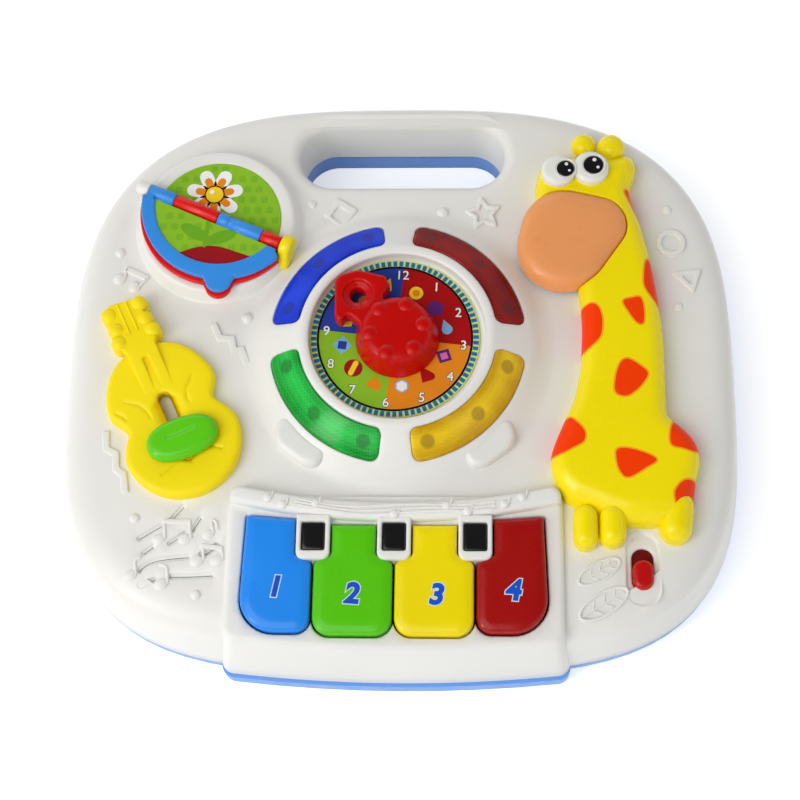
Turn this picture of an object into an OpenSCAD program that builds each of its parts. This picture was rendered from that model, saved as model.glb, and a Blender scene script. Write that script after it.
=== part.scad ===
// Musical activity table: a two-part casing with a carrying handle, carrying a turning dial with
// light-up lenses, a two-page book, a guitar slider, a giraffe with a push snout and a piano.
// Millimetres. +X is the right of someone who plays the piano, +Y is towards the handle, +Z is up.
// The origin lies on the floor, at the middle of the whole outline.

/* [Casing] */
// Width of the casing at its parting line
casing_w = 370; // [362:1:390]
// Distance from the origin to the rear edge
casing_back = 166.5; // [163:0.5:176]
// Distance from the origin to the front wall beside the piano
casing_front = 158.5; // [154:0.5:164]
// Height of the bottom casing
base_h = 14; // [12:0.5:18]
// Height of the deck above the floor
deck_h = 52; // [50:0.5:58]
// Thickness of the casings' walls
wall = 2.5; // [2:0.1:3]
// How far the side wall leans in below its shoulder
wall_lean = 4.5; // [2:0.5:8]
// How square the rear corners are
back_power = 3; // [2.6:0.1:3.4]
// How square the front corners are
front_power = 3.5; // [3:0.1:4]

/* [Handle opening] */
// Length of the opening
handle_l = 115; // [100:1:125]
// Depth of the opening, front to back
handle_d = 37.6; // [32:0.2:40]
// Thickness of the grip bar behind the opening
grip_w = 19.5; // [18:0.5:24]
// Radius of the opening's rounded upper rim
handle_round = 7; // [4:0.5:8]

/* [Leg sockets] */
// Bore radius of the sockets that take the push-in legs
socket_r = 11; // [8:0.5:12]
// Depth of the sockets
socket_depth = 25; // [18:1:26]
// Distance of the sockets from the casing's sides
socket_side = 67; // [62:1:74]
// Distance of the sockets from the middle, front to back
socket_y = 92; // [84:1:96]

/* [Battery bay] */
// Diameter of a cell
cell_d = 14.2; // [13.5:0.1:14.5]
// Length of a cell
cell_l = 50.5; // [44:0.5:51]
// Number of cells side by side
cell_count = 3; // [2:1:4]
// Front edge of the bay
bay_y = 9; // [6:1:14]

/* [Dial] */
// Distance of the dial's axis from the origin
dial_y = 11; // [8:0.5:14]
// Radius of the printed dial plate
dial_r = 46; // [42:0.5:47]
// Thickness of the printed dial plate
dial_t = 1; // [0.8:0.1:1.4]
// Height of the dial plate's seat above the deck
dial_seat = 10; // [8:0.5:12]
// Height of the white ring round the dial above the deck
dome_h = 18.6; // [16:0.2:22]

/* [Lenses] */
// Inner radius of the lenses
lens_in = 53; // [52.5:0.1:54]
// Outer radius of the lenses
lens_out = 68.3; // [66:0.1:69]
// Angle of the white spoke between two lenses
spoke_angle = 17.2; // [15:0.2:20]
// How far a lens stands above the dome
lens_proud = 1; // [0.5:0.1:2]

/* [Dial knob] */
// Radius of the knob's foot
knob_foot_r = 21.6; // [20:0.2:23]
// Radius of the knob's cap
knob_cap_r = 17; // [15:0.2:18]
// Height of the knob
knob_h = 16; // [13:0.5:20]
// Radius of the shaft
shaft_r = 5; // [4:0.1:6]
// Length of the rocket pointer from the axis to its nose
rocket_l = 45; // [42:0.5:46]
// Radius of the hole through the rocket
rocket_hole_r = 4.4; // [3:0.1:5]

/* [Book] */
// Distance of the book's middle from the casing's left side
book_side = 84; // [82:0.5:88]
// Distance of the book's middle from the origin, front to back
book_y = 83; // [80:0.5:86]
// Radius of the book's raised plateau
book_r = 43.5; // [42:0.5:44]
// Height of the plateau above the deck
book_h = 8; // [6:0.5:10]
// Radius of the printed book plate
plate_r = 35.3; // [33:0.1:36]
// Direction of the pages' hinge, turned from the X axis
hinge_turn = -24; // [-28:1:-20]
// Outer radius of the pages
page_r = 42.4; // [41:0.2:43]
// Width of a page's frame
page_rim = 8; // [6:0.5:9]
// Thickness of a page
page_t = 3; // [2.4:0.1:3.6]
// Radius of the hinge knuckles
knuckle_r = 3.4; // [3:0.1:3.6]
// Radius of the hinge rod
rod_r = 1.4; // [1.1:0.1:1.6]

/* [Guitar] */
// Distance of the guitar's lower bout from the casing's left side
guitar_side = 72.5; // [72:0.5:76]
// Distance of the lower bout from the origin, front to back
guitar_y = -46.5; // [-48:0.5:-44]
// Direction of the neck, turned from the X axis
guitar_turn = 115.8; // [113:0.2:118]
// Radius of the lower bout
bout_r = 30.3; // [28:0.1:31]
// Radius of the upper bout
shoulder_bout_r = 29; // [27:0.1:29.5]
// Distance between the middles of the bouts
bout_gap = 33.3; // [31:0.1:35]
// Height of the guitar above the deck
guitar_h = 7.5; // [6:0.5:9]
// Width of the neck
neck_w = 17; // [14:0.5:18]
// Half width of the slot, which is also the radius of its ends
slot_r = 3.2; // [3:0.1:4]
// Length of the slot from the lower bout's middle up the neck
slot_up = 31; // [26:0.5:31]
// Length of the slot from the lower bout's middle downwards
slot_down = 9.5; // [7:0.5:10]
// Length of the green slider, across the strings
slider_l = 38.4; // [34:0.2:40]
// Width of the green slider, along the strings
slider_w = 23.2; // [20:0.2:24]

/* [Giraffe] */
// Distance of the giraffe's middle from the casing's right side
giraffe_side = 67; // [66:0.5:70]
// Height of the giraffe's body above the deck
giraffe_h = 13.5; // [11:0.5:15]
// Travel of the snout when it is pressed
snout_travel = 2.5; // [1.5:0.1:3]
// Height of the snout's top above the deck
snout_h = 17.5; // [15:0.5:19]
// Radius of an eye
eye_r = 9.4; // [8:0.1:9.6]

/* [Piano] */
// Half width of the piano bay at the parting line
bay_half_w = 92; // [90:0.5:95]
// Distance from the origin to the front of the bay
bay_front = 166.5; // [164:0.5:172]
// Height of the bay's shelf above the deck
shelf_h = 4; // [3:0.5:5]
// Height of the curved bar behind the keys above the deck
bar_h = 10; // [9:0.5:12]
// Distance between the middles of the two inner keys
key_pitch = 41.9; // [40:0.1:42.2]
// Gap between two keys
key_gap = 1.2; // [1:0.1:1.6]
// Height of the keys' tops above the deck
key_h = 8.5; // [8:0.1:9]
// Height of a key's body
key_t = 10.5; // [9:0.5:11]
// Angle that a key turns when it is pressed
key_angle = 3.4; // [2:0.1:3.6]
// Radius of the key axle
axle_r = 1.5; // [1.3:0.1:1.8]

/* [Power switch] */
// Distance of the switch from the casing's right side
switch_side = 57; // [56:0.5:62]
// Distance of the switch window from the origin, front to back
switch_y = -112; // [-113:0.5:-110]
// Length of the switch window
window_l = 23; // [21:0.5:25]
// Width of the switch window
window_w = 11.5; // [10:0.5:12]
// Travel of the power slide
switch_travel = 5; // [4:0.5:5.5]

/* [Inside] */
// Radius of the speaker
speaker_r = 25; // [20:0.5:26]
// Thickness of the circuit boards
board_t = 1.6; // [1.2:0.1:2]
// Shank radius of the small screws
screw_r = 1.2; // [1:0.1:1.4]
// Shank radius of the casing screws
case_screw_r = 1.5; // [1.3:0.1:1.7]

/* [Hidden] */
$fn = 48;

// Clearances
fit = 0.05;        // running clearance round shafts and in pilot holes
seat = 0.15;       // gap between a piece and the seat that it lies on
play = 0.3;        // gap between a moving piece and what it passes
eps = 0.1;         // thickness of the slices that make a hull
over = 1;          // how far a cut runs past the face it opens
screw_clear = 0.3; // gap between a screw and the hole it passes through

white = "white";
sky = [0.45, 0.62, 0.92];
steel = "silver";
board_green = [0.1, 0.4, 0.2];
blue = [0.16, 0.53, 0.93];
green = [0.33, 0.75, 0.1];
yellow = [0.95, 0.84, 0.05];
red = [0.8, 0.05, 0.03];

// ---- Casing outline: two half superellipses that meet at the widest line ----
rim_steps = 72;
half_w = casing_w / 2;
// Drop below the deck and inset past the lean, for each ring of the rounded shoulder
shoulder = [[12, 0], [6, 2.5], [2, 7], [0, 13.5]];
// Height above the floor and inset, for each ring of the bottom edge
heel = [[0, 3.5], [2, 1], [5, 0.3]];
under_deck = deck_h - wall;

function power_of(a) = a < 180 ? back_power : front_power;
function half_d(a) = a < 180 ? casing_back : casing_front;
function signed_power(v, p) = sign(v) * pow(abs(v), p);
function rim_point(a, inset) = [(half_w - inset) * signed_power(cos(a), 2 / power_of(a)),
  (half_d(a) - inset) * signed_power(sin(a), 2 / power_of(a))];
function rim_outline(inset) = [for (i = [0:rim_steps - 1]) rim_point(i * 360 / rim_steps, inset)];

module slice(z, inset) {
  translate([0, 0, z]) linear_extrude(eps) polygon(rim_outline(inset));
}

module top_form() {
  hull() {
    slice(base_h, 0);
    for (s = shoulder) slice(deck_h - s[0] - eps, wall_lean + s[1]);
  }
}

module top_hollow() {
  hull() {
    slice(base_h - over, wall);
    for (s = shoulder) slice(under_deck - s[0] - eps, wall_lean + s[1] + wall);
  }
}

module bottom_form() {
  hull() {
    for (s = heel) slice(s[0], s[1]);
    slice(base_h - eps, 0);
  }
}

module bottom_hollow() {
  hull() {
    slice(wall, heel[0][1] + wall);
    slice(base_h + over, wall);
  }
}

// ---- Piano bay: a box with a bowed front that grows out of the casing ----
bay_bow = 4.5;         // how far the bowed front stands out in its middle
bay_corner = 7;        // radius of the bay's front corners
bay_step = 2;          // how far the bottom casing stands out past the top one
bay_lean = 8;          // how far the front leans in from the parting line to the shelf
bay_taper = 4.5;       // how far each side leans in over the same height
bay_edge = 3;          // height and depth of the rounded edge round the shelf
bay_rear = -75;        // where the bay runs into the deck
bow_steps = 8;
shelf_z = deck_h + shelf_h;

module bay_slice(z, half, front) {
  translate([0, 0, z]) linear_extrude(eps) {
    polygon(concat([[half - bay_corner, bay_rear], [-half + bay_corner, bay_rear]],
      [for (i = [0:bow_steps]) let (t = 2 * i / bow_steps - 1)
        [t * (half - bay_corner), -front + bay_bow * t * t]]));
    for (s = [-1, 1]) {
      translate([s * (half - bay_corner), bay_bow - front + bay_corner]) circle(bay_corner, $fn = 32);
      translate([s * (half - 2) - 1, bay_rear - 2]) square(2);
    }
  }
}

module bay_form(gap, low, high) {
  hull() {
    bay_slice(low, bay_half_w - gap, bay_front - bay_step - gap);
    bay_slice(high - bay_edge, bay_half_w - bay_taper - gap, bay_front - bay_step - bay_lean - gap);
    bay_slice(high - eps, bay_half_w - bay_taper - bay_edge - gap,
      bay_front - bay_step - bay_lean - bay_edge - gap);
  }
}

// ---- Stadium shapes, along X ----
module stadium(length, width) {
  square([length - width, width], center = true);
  for (s = [-1, 1]) translate([s * (length - width) / 2, 0]) circle(width / 2);
}

// The rounded upper rim of the handle opening, made of straight runs and half rings
module rim_profile() {
  difference() {
    translate([-over, -handle_round]) square([handle_round + over, handle_round + over]);
    translate([handle_round, -handle_round]) circle(handle_round);
  }
}

module handle_rim_cut() {
  run = handle_l - handle_d;
  for (s = [-1, 1]) {
    translate([s * run / 2, 0, 0]) rotate(s * -90) rotate_extrude(angle = 180)
      translate([handle_d / 2, 0]) rim_profile();
    translate([-run / 2, s * handle_d / 2, 0]) mirror([0, s < 0 ? 1 : 0, 0])
      rotate([90, 0, 90]) linear_extrude(run) rim_profile();
  }
}

handle_y = casing_back - grip_w - handle_d / 2;
handle_well = handle_round + wall;

module handle_place() {
  translate([0, handle_y, 0]) children();
}

// ---- Fasteners ----
pan_h = 1.8;           // height of a small screw's head
pan_r = 2.4;
small_screw_l = 6;
ear_t = 1.5;           // thickness of the ears of the switch and the speaker
case_head_h = 2.4;
case_head_r = 3;
case_screw_l = 16;

// A small screw whose head lies below z = 0 and whose shank points up
module small_screw() {
  translate([0, 0, -pan_h]) cylinder(r = pan_r, h = pan_h);
  cylinder(r = screw_r, h = small_screw_l);
}

module pilot(depth) {
  translate([0, 0, -over]) cylinder(r = screw_r + fit, h = depth + over);
}

// Casing screws, mirrored left and right
case_posts = [[88, 132], [half_w - 22, 2], [100, -130]];
case_post_r = 4.5;
case_seat = 8;         // height of the face that the casing screws' heads pull on

module at_case_posts() {
  for (p = case_posts, s = [-1, 1]) translate([s * p[0], p[1], 0]) children();
}

// ---- Leg sockets ----
socket_x = half_w - socket_side;
socket_wall = 2.5;

module at_sockets() {
  for (sx = [-1, 1], sy = [-1, 1]) translate([sx * socket_x, sy * socket_y, 0]) children();
}

// ---- Battery bay ----
cell_pitch = cell_d + 0.6;
bay_contact = 4.5;     // room at each end of a cell for its contact
bay_in_l = cell_l + 2 * bay_contact;
bay_in_w = cell_pitch * cell_count;
door_t = 2;
door_rim = 3;          // width of the ledge that the battery door lies on
bay_roof = door_t + play + cell_d + 1;
bay_mid_y = bay_y + bay_in_w / 2 + wall;
contact_t = 0.8;
door_screw_x = bay_in_l / 2 + 9;
door_l = 2 * door_screw_x + 10;
door_tab = 16;
door_hole = 8;         // depth of the door screws' pilot holes

// ---- Boards ----
main_board = [96, 50];
main_board_y = -32;
main_board_z = 26;
board_inset = 5;       // distance of the fixing holes from a board's edges
key_board = [150, 30];
key_board_y = -127;
key_board_z = deck_h - 14;
post_r = 3.5;

function board_holes(size) = [for (sx = [-1, 1], sy = [-1, 1])
  [sx * (size[0] / 2 - board_inset), sy * (size[1] / 2 - board_inset)]];

module at_main_holes() {
  translate([0, main_board_y, 0]) for (p = board_holes(main_board)) translate(p) children();
}

module at_key_holes() {
  translate([0, key_board_y, 0]) for (p = board_holes(key_board)) translate(p) children();
}

module board_post(top) {
  translate([0, 0, wall / 2]) cylinder(r = post_r, h = top - wall / 2);
}

module plain_board(size, y, z) {
  translate([0, y, z]) difference() {
    translate([-size[0] / 2, -size[1] / 2, 0]) cube([size[0], size[1], board_t]);
    for (p = board_holes(size)) translate([p[0], p[1], -over])
      cylinder(r = screw_r + screw_clear, h = board_t + 2 * over);
  }
}

// ---- Bottom casing ----
boss_wall = 2.2;       // wall of the bosses round the casing screws

module bottom_casing() {
  color(sky) difference() {
    union() {
      bottom_shell();
      at_sockets() cylinder(r = socket_r + socket_wall, h = socket_depth + wall);
      at_main_holes() board_post(main_board_z);
      at_key_holes() board_post(key_board_z);
      at_case_posts() translate([0, 0, wall / 2])
        cylinder(r = case_head_r + 0.4 + boss_wall, h = case_seat + wall / 2);
      handle_place() translate([0, 0, wall / 2]) linear_extrude(base_h - wall / 2)
        stadium(handle_l + 2 * wall, handle_d + 2 * wall);
      battery_box();
    }
    at_sockets() translate([0, 0, -over]) cylinder(r = socket_r, h = socket_depth + over);
    handle_place() translate([0, 0, -over]) linear_extrude(base_h + 2 * over)
      stadium(handle_l, handle_d);
    at_case_posts() translate([0, 0, -over]) {
      cylinder(r = case_head_r + 0.4, h = case_seat + over);
      cylinder(r = case_screw_r + screw_clear, h = base_h + 2 * over);
    }
    at_main_holes() translate([0, 0, main_board_z - small_screw_l])
      cylinder(r = screw_r + fit, h = small_screw_l + over);
    at_key_holes() translate([0, 0, key_board_z - small_screw_l])
      cylinder(r = screw_r + fit, h = small_screw_l + over);
    battery_space();
  }
}

module bottom_shell() {
  difference() {
    union() {
      bottom_form();
      hull() {
        bay_slice(0, bay_half_w - 1.5, bay_front - 1);
        bay_slice(3, bay_half_w, bay_front);
        bay_slice(base_h - eps, bay_half_w, bay_front);
      }
    }
    bottom_hollow();
    hull() {
      bay_slice(wall, bay_half_w - wall - 2, bay_front - wall - 2);
      bay_slice(base_h + over, bay_half_w - wall, bay_front - wall);
    }
  }
}

module battery_box() {
  translate([-bay_in_l / 2 - wall, bay_y, 0])
    cube([bay_in_l + 2 * wall, bay_in_w + 2 * wall, bay_roof + wall]);
  for (s = [-1, 1]) translate([s * door_screw_x, bay_mid_y, wall / 2])
    cylinder(r = post_r, h = door_hole + wall);
}

// What the battery bay and its door take out of the bottom casing
module battery_space() {
  translate([-bay_in_l / 2, bay_y + wall, -over]) cube([bay_in_l, bay_in_w, bay_roof + over]);
  translate([-bay_in_l / 2 - door_rim, bay_y + wall - door_rim / 2, -over])
    cube([bay_in_l + 2 * door_rim, bay_in_w + door_rim, door_t + over]);
  translate([-door_l / 2, bay_mid_y - door_tab / 2, -over]) cube([door_l, door_tab, door_t + over]);
  for (s = [-1, 1]) translate([s * door_screw_x, bay_mid_y, -over])
    cylinder(r = screw_r + fit, h = door_hole + over);
}

module battery_door() {
  color(sky) difference() {
    union() {
      translate([-bay_in_l / 2 - door_rim + play, bay_y + wall - door_rim / 2 + play, 0])
        cube([bay_in_l + 2 * (door_rim - play), bay_in_w + door_rim - 2 * play, door_t]);
      translate([-door_l / 2 + play, bay_mid_y - door_tab / 2 + play, 0])
        cube([door_l - 2 * play, door_tab - 2 * play, door_t]);
    }
    for (s = [-1, 1]) translate([s * door_screw_x, bay_mid_y, -over]) {
      cylinder(r = screw_r + screw_clear, h = door_t + 2 * over);
      cylinder(r = pan_r + 0.3, h = 1 + over);
    }
  }
}

module door_screw() {
  color(steel) for (s = [-1, 1]) translate([s * door_screw_x, bay_mid_y, 0]) {
    cylinder(r = pan_r, h = 1);
    cylinder(r = screw_r, h = small_screw_l);
  }
}

cell_z = door_t + play + cell_d / 2;

module battery_cells() {
  color([0.2, 0.25, 0.3]) for (i = [0:cell_count - 1]) {
    translate([-cell_l / 2, bay_y + wall + cell_pitch * (i + 0.5), cell_z]) rotate([0, 90, 0]) {
      cylinder(r = cell_d / 2, h = cell_l - 1.2);
      cylinder(r = 2.7, h = cell_l);
    }
  }
}

// Spring and plate contacts at the two ends of each cell
module battery_contacts() {
  spring_l = bay_contact - contact_t - 0.5;
  color(steel) for (i = [0:cell_count - 1], s = [-1, 1]) {
    y = bay_y + wall + cell_pitch * (i + 0.5);
    translate([s * (bay_in_l / 2 - contact_t / 2 - fit), y, cell_z + fit])
      cube([contact_t, cell_d - 3, cell_d - 2], center = true);
    translate([s * (bay_in_l / 2 - contact_t - fit), y, cell_z]) rotate([0, s * -90, 0])
      for (j = [0:2]) cylinder(r1 = 4.4 - j, r2 = 3.9 - j, h = spring_l * (j + 1) / 3);
  }
}

module casing_screws() {
  color(steel) at_case_posts() translate([0, 0, case_seat - seat]) {
    translate([0, 0, -case_head_h]) cylinder(r = case_head_r, h = case_head_h);
    cylinder(r = case_screw_r, h = case_screw_l);
  }
}

// ---- Dial dome ----
// The dome is a cone from its foot up to the ring round the dial
foot_r = lens_out + 13.7;
cone_out = [lens_out + 3.2, 6.7];
cone_in = [dial_r + 6.3, dome_h - 0.6];
ring_r = dial_r + 4;
floor_t = 2.5;
dial_z = deck_h + dial_seat;
dome_wall = 3.4;
cone_slope = (cone_in[1] - cone_out[1]) / (cone_out[0] - cone_in[0]);
recess_r = dial_r + 0.4;

function cone_z(r) = deck_h + cone_out[1] + (cone_out[0] - r) * cone_slope;

module at_dial() {
  translate([0, dial_y, 0]) children();
}

module dome_form() {
  at_dial() rotate_extrude() polygon([[0, deck_h - wall / 2], [foot_r, deck_h - wall / 2], [foot_r, deck_h],
    [foot_r - 5, deck_h + 2.2], [cone_out[0], deck_h + cone_out[1]], [cone_in[0], deck_h + cone_in[1]],
    [ring_r, deck_h + dome_h], [recess_r + 1, deck_h + dome_h - 0.6], [recess_r, deck_h + dome_h - 1.8],
    [recess_r, dial_z], [0, dial_z]]);
}

module dome_hollow() {
  flange_in = lens_in - flange_w - play;
  ring_under = [recess_r + wall, deck_h + dome_h - dome_wall - 1];
  at_dial() rotate_extrude() polygon([[0, deck_h - 2 * wall], [foot_r - 4, deck_h - 2 * wall],
    [foot_r - 4, under_deck], [foot_r - 7, deck_h - 0.9],
    [cone_out[0] - 1, cone_z(cone_out[0] - 1) - dome_wall], [flange_in, cone_z(flange_in) - dome_wall],
    ring_under, [ring_under[0], dial_z - floor_t], [0, dial_z - floor_t]]);
}

// ---- Lenses ----
lens_span = 90 - spoke_angle;
lens_gap = 0.2;        // gap round a lens in its window, as a length
lens_t = 2;
flange_t = 1.3;
flange_w = 1.4;        // how far a lens's flange reaches under the dome
lens_turn = degrees(lens_gap, lens_in);
flange_turn = degrees(flange_w, lens_in);
lens_post_angle = 28;  // angle of a lens's posts from its middle
lens_mid_r = (lens_in + lens_out) / 2 + 1;
lamp_board_z = deck_h - 1.8 + seat;
lamp_board_r = lens_out - 1.5;

function degrees(length, radius) = length / radius * 180 / PI;

module sector(span) {
  rotate(-span / 2) rotate_extrude(angle = span, $fn = 96) children();
}

module lens_profile(r_in, r_out, up_in, up_out, down) {
  polygon([[r_in, cone_z(r_in) + up_in], [r_out, cone_z(r_out) + up_out],
    [r_out, cone_z(r_out) - down], [r_in, cone_z(r_in) - down]]);
}

module lens(quadrant) {
  depth = dome_wall + seat + flange_t;
  at_dial() rotate(45 + 90 * quadrant) {
    difference() {
      union() {
        sector(lens_span) lens_profile(lens_in, lens_out, lens_proud, lens_proud, depth);
        sector(lens_span + 2 * flange_turn) lens_profile(lens_in - flange_w, lens_out + flange_w,
          -dome_wall - seat, -dome_wall - seat, depth);
      }
      sector(lens_span - 2 * degrees(lens_t, lens_in)) lens_profile(lens_in + lens_t, lens_out - lens_t,
        lens_proud - lens_t, lens_proud - lens_t, depth + over);
    }
    for (s = [-1, 1]) rotate(s * lens_post_angle) translate([lens_mid_r, 0, lamp_board_z + board_t + fit])
      lens_post();
  }
}

// A hollow post that the lens hangs its screw in
module lens_post() {
  top = cone_z(lens_mid_r) + lens_proud - lens_t - 1 - lamp_board_z - board_t;
  difference() {
    cylinder(r = post_r, h = top);
    pilot(small_screw_l);
  }
}

module lens_windows() {
  at_dial() for (q = [0:3]) rotate(45 + 90 * q) sector(lens_span + 2 * lens_turn)
    lens_profile(lens_in - lens_gap, lens_out + lens_gap, 2 * lens_proud + over, 2 * lens_proud + over,
      2 * dome_wall);
}

module at_lens_posts() {
  at_dial() for (q = [0:3], s = [-1, 1]) rotate(45 + 90 * q + s * lens_post_angle)
    translate([lens_mid_r, 0, 0]) children();
}

module at_spokes() {
  at_dial() for (q = [0:3]) rotate(90 * q) translate([lens_mid_r, 0, 0]) children();
}

module lens_blue() { color([0.14, 0.2, 0.8, 0.8]) lens(1); }
module lens_red() { color([0.6, 0.06, 0.06, 0.8]) lens(0); }
module lens_amber() { color([0.85, 0.66, 0, 0.8]) lens(3); }
module lens_green() { color([0, 0.55, 0.13, 0.8]) lens(2); }

module lamp_board() {
  color(board_green) at_dial() translate([0, 0, lamp_board_z]) difference() {
    cylinder(r = lamp_board_r, h = board_t, $fn = 96);
    translate([0, 0, -over]) cylinder(r = 6, h = board_t + 2 * over);
    for (q = [0:3]) rotate(90 * q) {
      translate([lens_mid_r, 0, -over]) cylinder(r = screw_r + screw_clear, h = board_t + 2 * over);
      for (s = [-1, 1]) rotate(45 + s * lens_post_angle) translate([lens_mid_r, 0, -over])
        cylinder(r = screw_r + screw_clear, h = board_t + 2 * over);
    }
  }
}

lamp_r = 2.5;
lamp_h = 5;

module lamps() {
  color("lightyellow") at_dial() for (q = [0:3]) rotate(45 + 90 * q)
    translate([lens_mid_r, 0, lamp_board_z + board_t + fit]) {
      cylinder(r = lamp_r + 0.4, h = 1);
      cylinder(r = lamp_r, h = lamp_h - lamp_r);
      translate([0, 0, lamp_h - lamp_r]) sphere(lamp_r);
    }
}

// ---- Dial plate, knob and what turns with it ----
sleeve_l = 2.5;        // length of the bearing sleeve under the dial's floor
sleeve_r = shaft_r + 3;
knob_z = dial_z + dial_t + seat + play;
sleeve_z = dial_z - floor_t - sleeve_l;
wiper_t = 2;
wiper_r = 18;
bump_count = 6;
bump_r = 3.2;
bump_ring = knob_cap_r - 3.4;
rocket_z = 3;          // height of the rocket's underside above the knob's foot
rocket_t = 9.5;
rocket_turn = 135;
rocket_half = 17.6;    // half width over the rocket's fins

module dial_plate() {
  color("orange") at_dial() translate([0, 0, dial_z + seat]) difference() {
    cylinder(r = dial_r, h = dial_t, $fn = 96);
    translate([0, 0, -over]) cylinder(r = shaft_r + 1, h = dial_t + 2 * over);
  }
}

// One side of the rocket, from the nose to the hub
function rocket_side(s) = [[rocket_l, 0], [rocket_l - 2.5, s * 5], [rocket_l - 6, s * 9],
  [rocket_l - 12, s * 12.5], [rocket_l - 16.5, s * (rocket_half - 0.8)], [rocket_l - 20, s * rocket_half],
  [rocket_l - 22.5, s * 14.5], [rocket_l - 25.5, s * 11.2], [rocket_l - 35, s * 10.5]];

module rocket_outline() {
  side = rocket_side(1);
  polygon(concat(side, [for (i = [len(side) - 1:-1:1]) [side[i][0], -side[i][1]]]));
}

module dial_knob() {
  hole_x = rocket_l - 15;
  color(red) at_dial() translate([0, 0, knob_z]) difference() {
    union() {
      rotate_extrude() polygon([[0, 0], [knob_foot_r, 0], [knob_foot_r, 1.5], [knob_foot_r - 1, 3.5],
        [knob_cap_r + 1, knob_h - 5], [knob_cap_r, knob_h - 2], [knob_cap_r - 1.5, knob_h - 0.5],
        [knob_cap_r - 3, knob_h], [0, knob_h]]);
      for (i = [0:bump_count - 1]) rotate(i * 360 / bump_count + 10)
        translate([bump_ring, 0, knob_h - bump_r + 0.7]) sphere(bump_r);
      rotate(rocket_turn) translate([0, 0, rocket_z]) linear_extrude(rocket_t) rocket_outline();
      translate([0, 0, sleeve_z - knob_z - play]) cylinder(r = shaft_r, h = knob_z - sleeve_z + play + 1);
      translate([0, 0, sleeve_z - knob_z - play - wiper_t - fit]) cylinder(r = shaft_r - 2, h = wiper_t + 1);
    }
    rotate(rocket_turn) translate([hole_x, 0, 0]) {
      translate([0, 0, rocket_z - over]) cylinder(r = rocket_hole_r, h = rocket_t + 2 * over);
      translate([0, 0, rocket_z + rocket_t - 2]) cylinder(r = rocket_hole_r + 3.2, h = 2 + over);
    }
    translate([0, 0, sleeve_z - knob_z - play - wiper_t - fit]) pilot(small_screw_l + over);
  }
}

// Contact wheel that the knob's shaft turns over the lamp board
module dial_wiper() {
  z = sleeve_z - play - wiper_t;
  color("black") at_dial() {
    difference() {
      translate([0, 0, z]) cylinder(r = wiper_r, h = wiper_t - fit);
      translate([0, 0, z - over]) cylinder(r = shaft_r - 2 + fit, h = wiper_t + 2 * over);
    }
    for (i = [0:2]) rotate(120 * i) translate([wiper_r - 4, 0, lamp_board_z + board_t + play])
      cylinder(r = 1.5, h = z - lamp_board_z - board_t - play + 0.5);
  }
}

module dial_screw() {
  z = sleeve_z - play - wiper_t - fit;
  color(steel) at_dial() translate([0, 0, z]) small_screw();
}

// ---- Book ----
book_x = book_side - half_w;
book_z = deck_h + book_h;
plate_t = 0.6;
plate_recess = 0.4;    // how deep the book plate is let into the plateau
hinge_z = book_z + plate_t - plate_recess + seat + page_t + play + 0.2;
page_gap = 0.2;        // gap between each page and the plane through the hinge
knuckle_clear = 0.6;   // gap between a knuckle and the other page
tab_angle = -85;
tab_r = 7.5;
// Start and end of each knuckle along the hinge
blue_knuckles = [[-page_r + 1.4, -25.3], [1.8, 28]];
bracket_x = 40;
page_end = bracket_x - 2 * play;
red_knuckles = [[-25, 1.5], [28.3, page_end]];
boss_x = page_r + 1.2;

module at_book() {
  translate([book_x, book_y, 0]) rotate(hinge_turn) children();
}

module book_form() {
  at_book() {
    translate([0, 0, deck_h - wall / 2]) cylinder(r = book_r, h = book_h + wall / 2 - 1.5, $fn = 96);
    translate([0, 0, book_z - 1.5]) cylinder(r1 = book_r, r2 = book_r - 1.5, h = 1.5, $fn = 96);
    translate([-boss_x - 5, 0, 0]) boss_block();
  }
}

// The white block at the left end of the hinge rod
module boss_block() {
  translate([0, -4, deck_h - wall / 2]) cube([5, 8, hinge_z - deck_h + wall / 2]);
  translate([0, 0, hinge_z]) rotate([0, 90, 0]) cylinder(r = 4, h = 5);
}

module book_cuts() {
  at_book() {
    translate([0, 0, book_z - plate_recess]) cylinder(r = plate_r + 0.2, h = over + 10, $fn = 96);
    translate([-boss_x - 4, 0, hinge_z]) rotate([0, 90, 0]) cylinder(r = rod_r + fit, h = 5);
  }
}

module book_plate() {
  color(green) at_book() translate([0, 0, book_z - plate_recess + fit])
    cylinder(r = plate_r, h = plate_t, $fn = 96);
}

module hinge_rod() {
  color(steel) at_book() translate([-boss_x - 3.8, 0, hinge_z]) rotate([0, 90, 0])
    cylinder(r = rod_r, h = boss_x + bracket_x + 3.8 + 4);
}

// Yellow end plate that carries the right end of the rod
module hinge_bracket() {
  bracket_t = 5;
  skirt = 9.8;       // how far the bracket's skirt hangs below the rod
  color(yellow) at_book() difference() {
    union() {
      translate([bracket_x, 0, hinge_z]) rotate([0, 90, 0]) cylinder(r = 6, h = bracket_t);
      translate([bracket_x, -10, hinge_z - skirt]) cube([bracket_t, 12, skirt - 1]);
    }
    translate([bracket_x - over, 0, hinge_z]) rotate([0, 90, 0])
      cylinder(r = rod_r + fit, h = bracket_t + 2 * over);
    translate([0, 0, deck_h - over]) cylinder(r = book_r + play, h = book_h + over, $fn = 96);
  }
}

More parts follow.
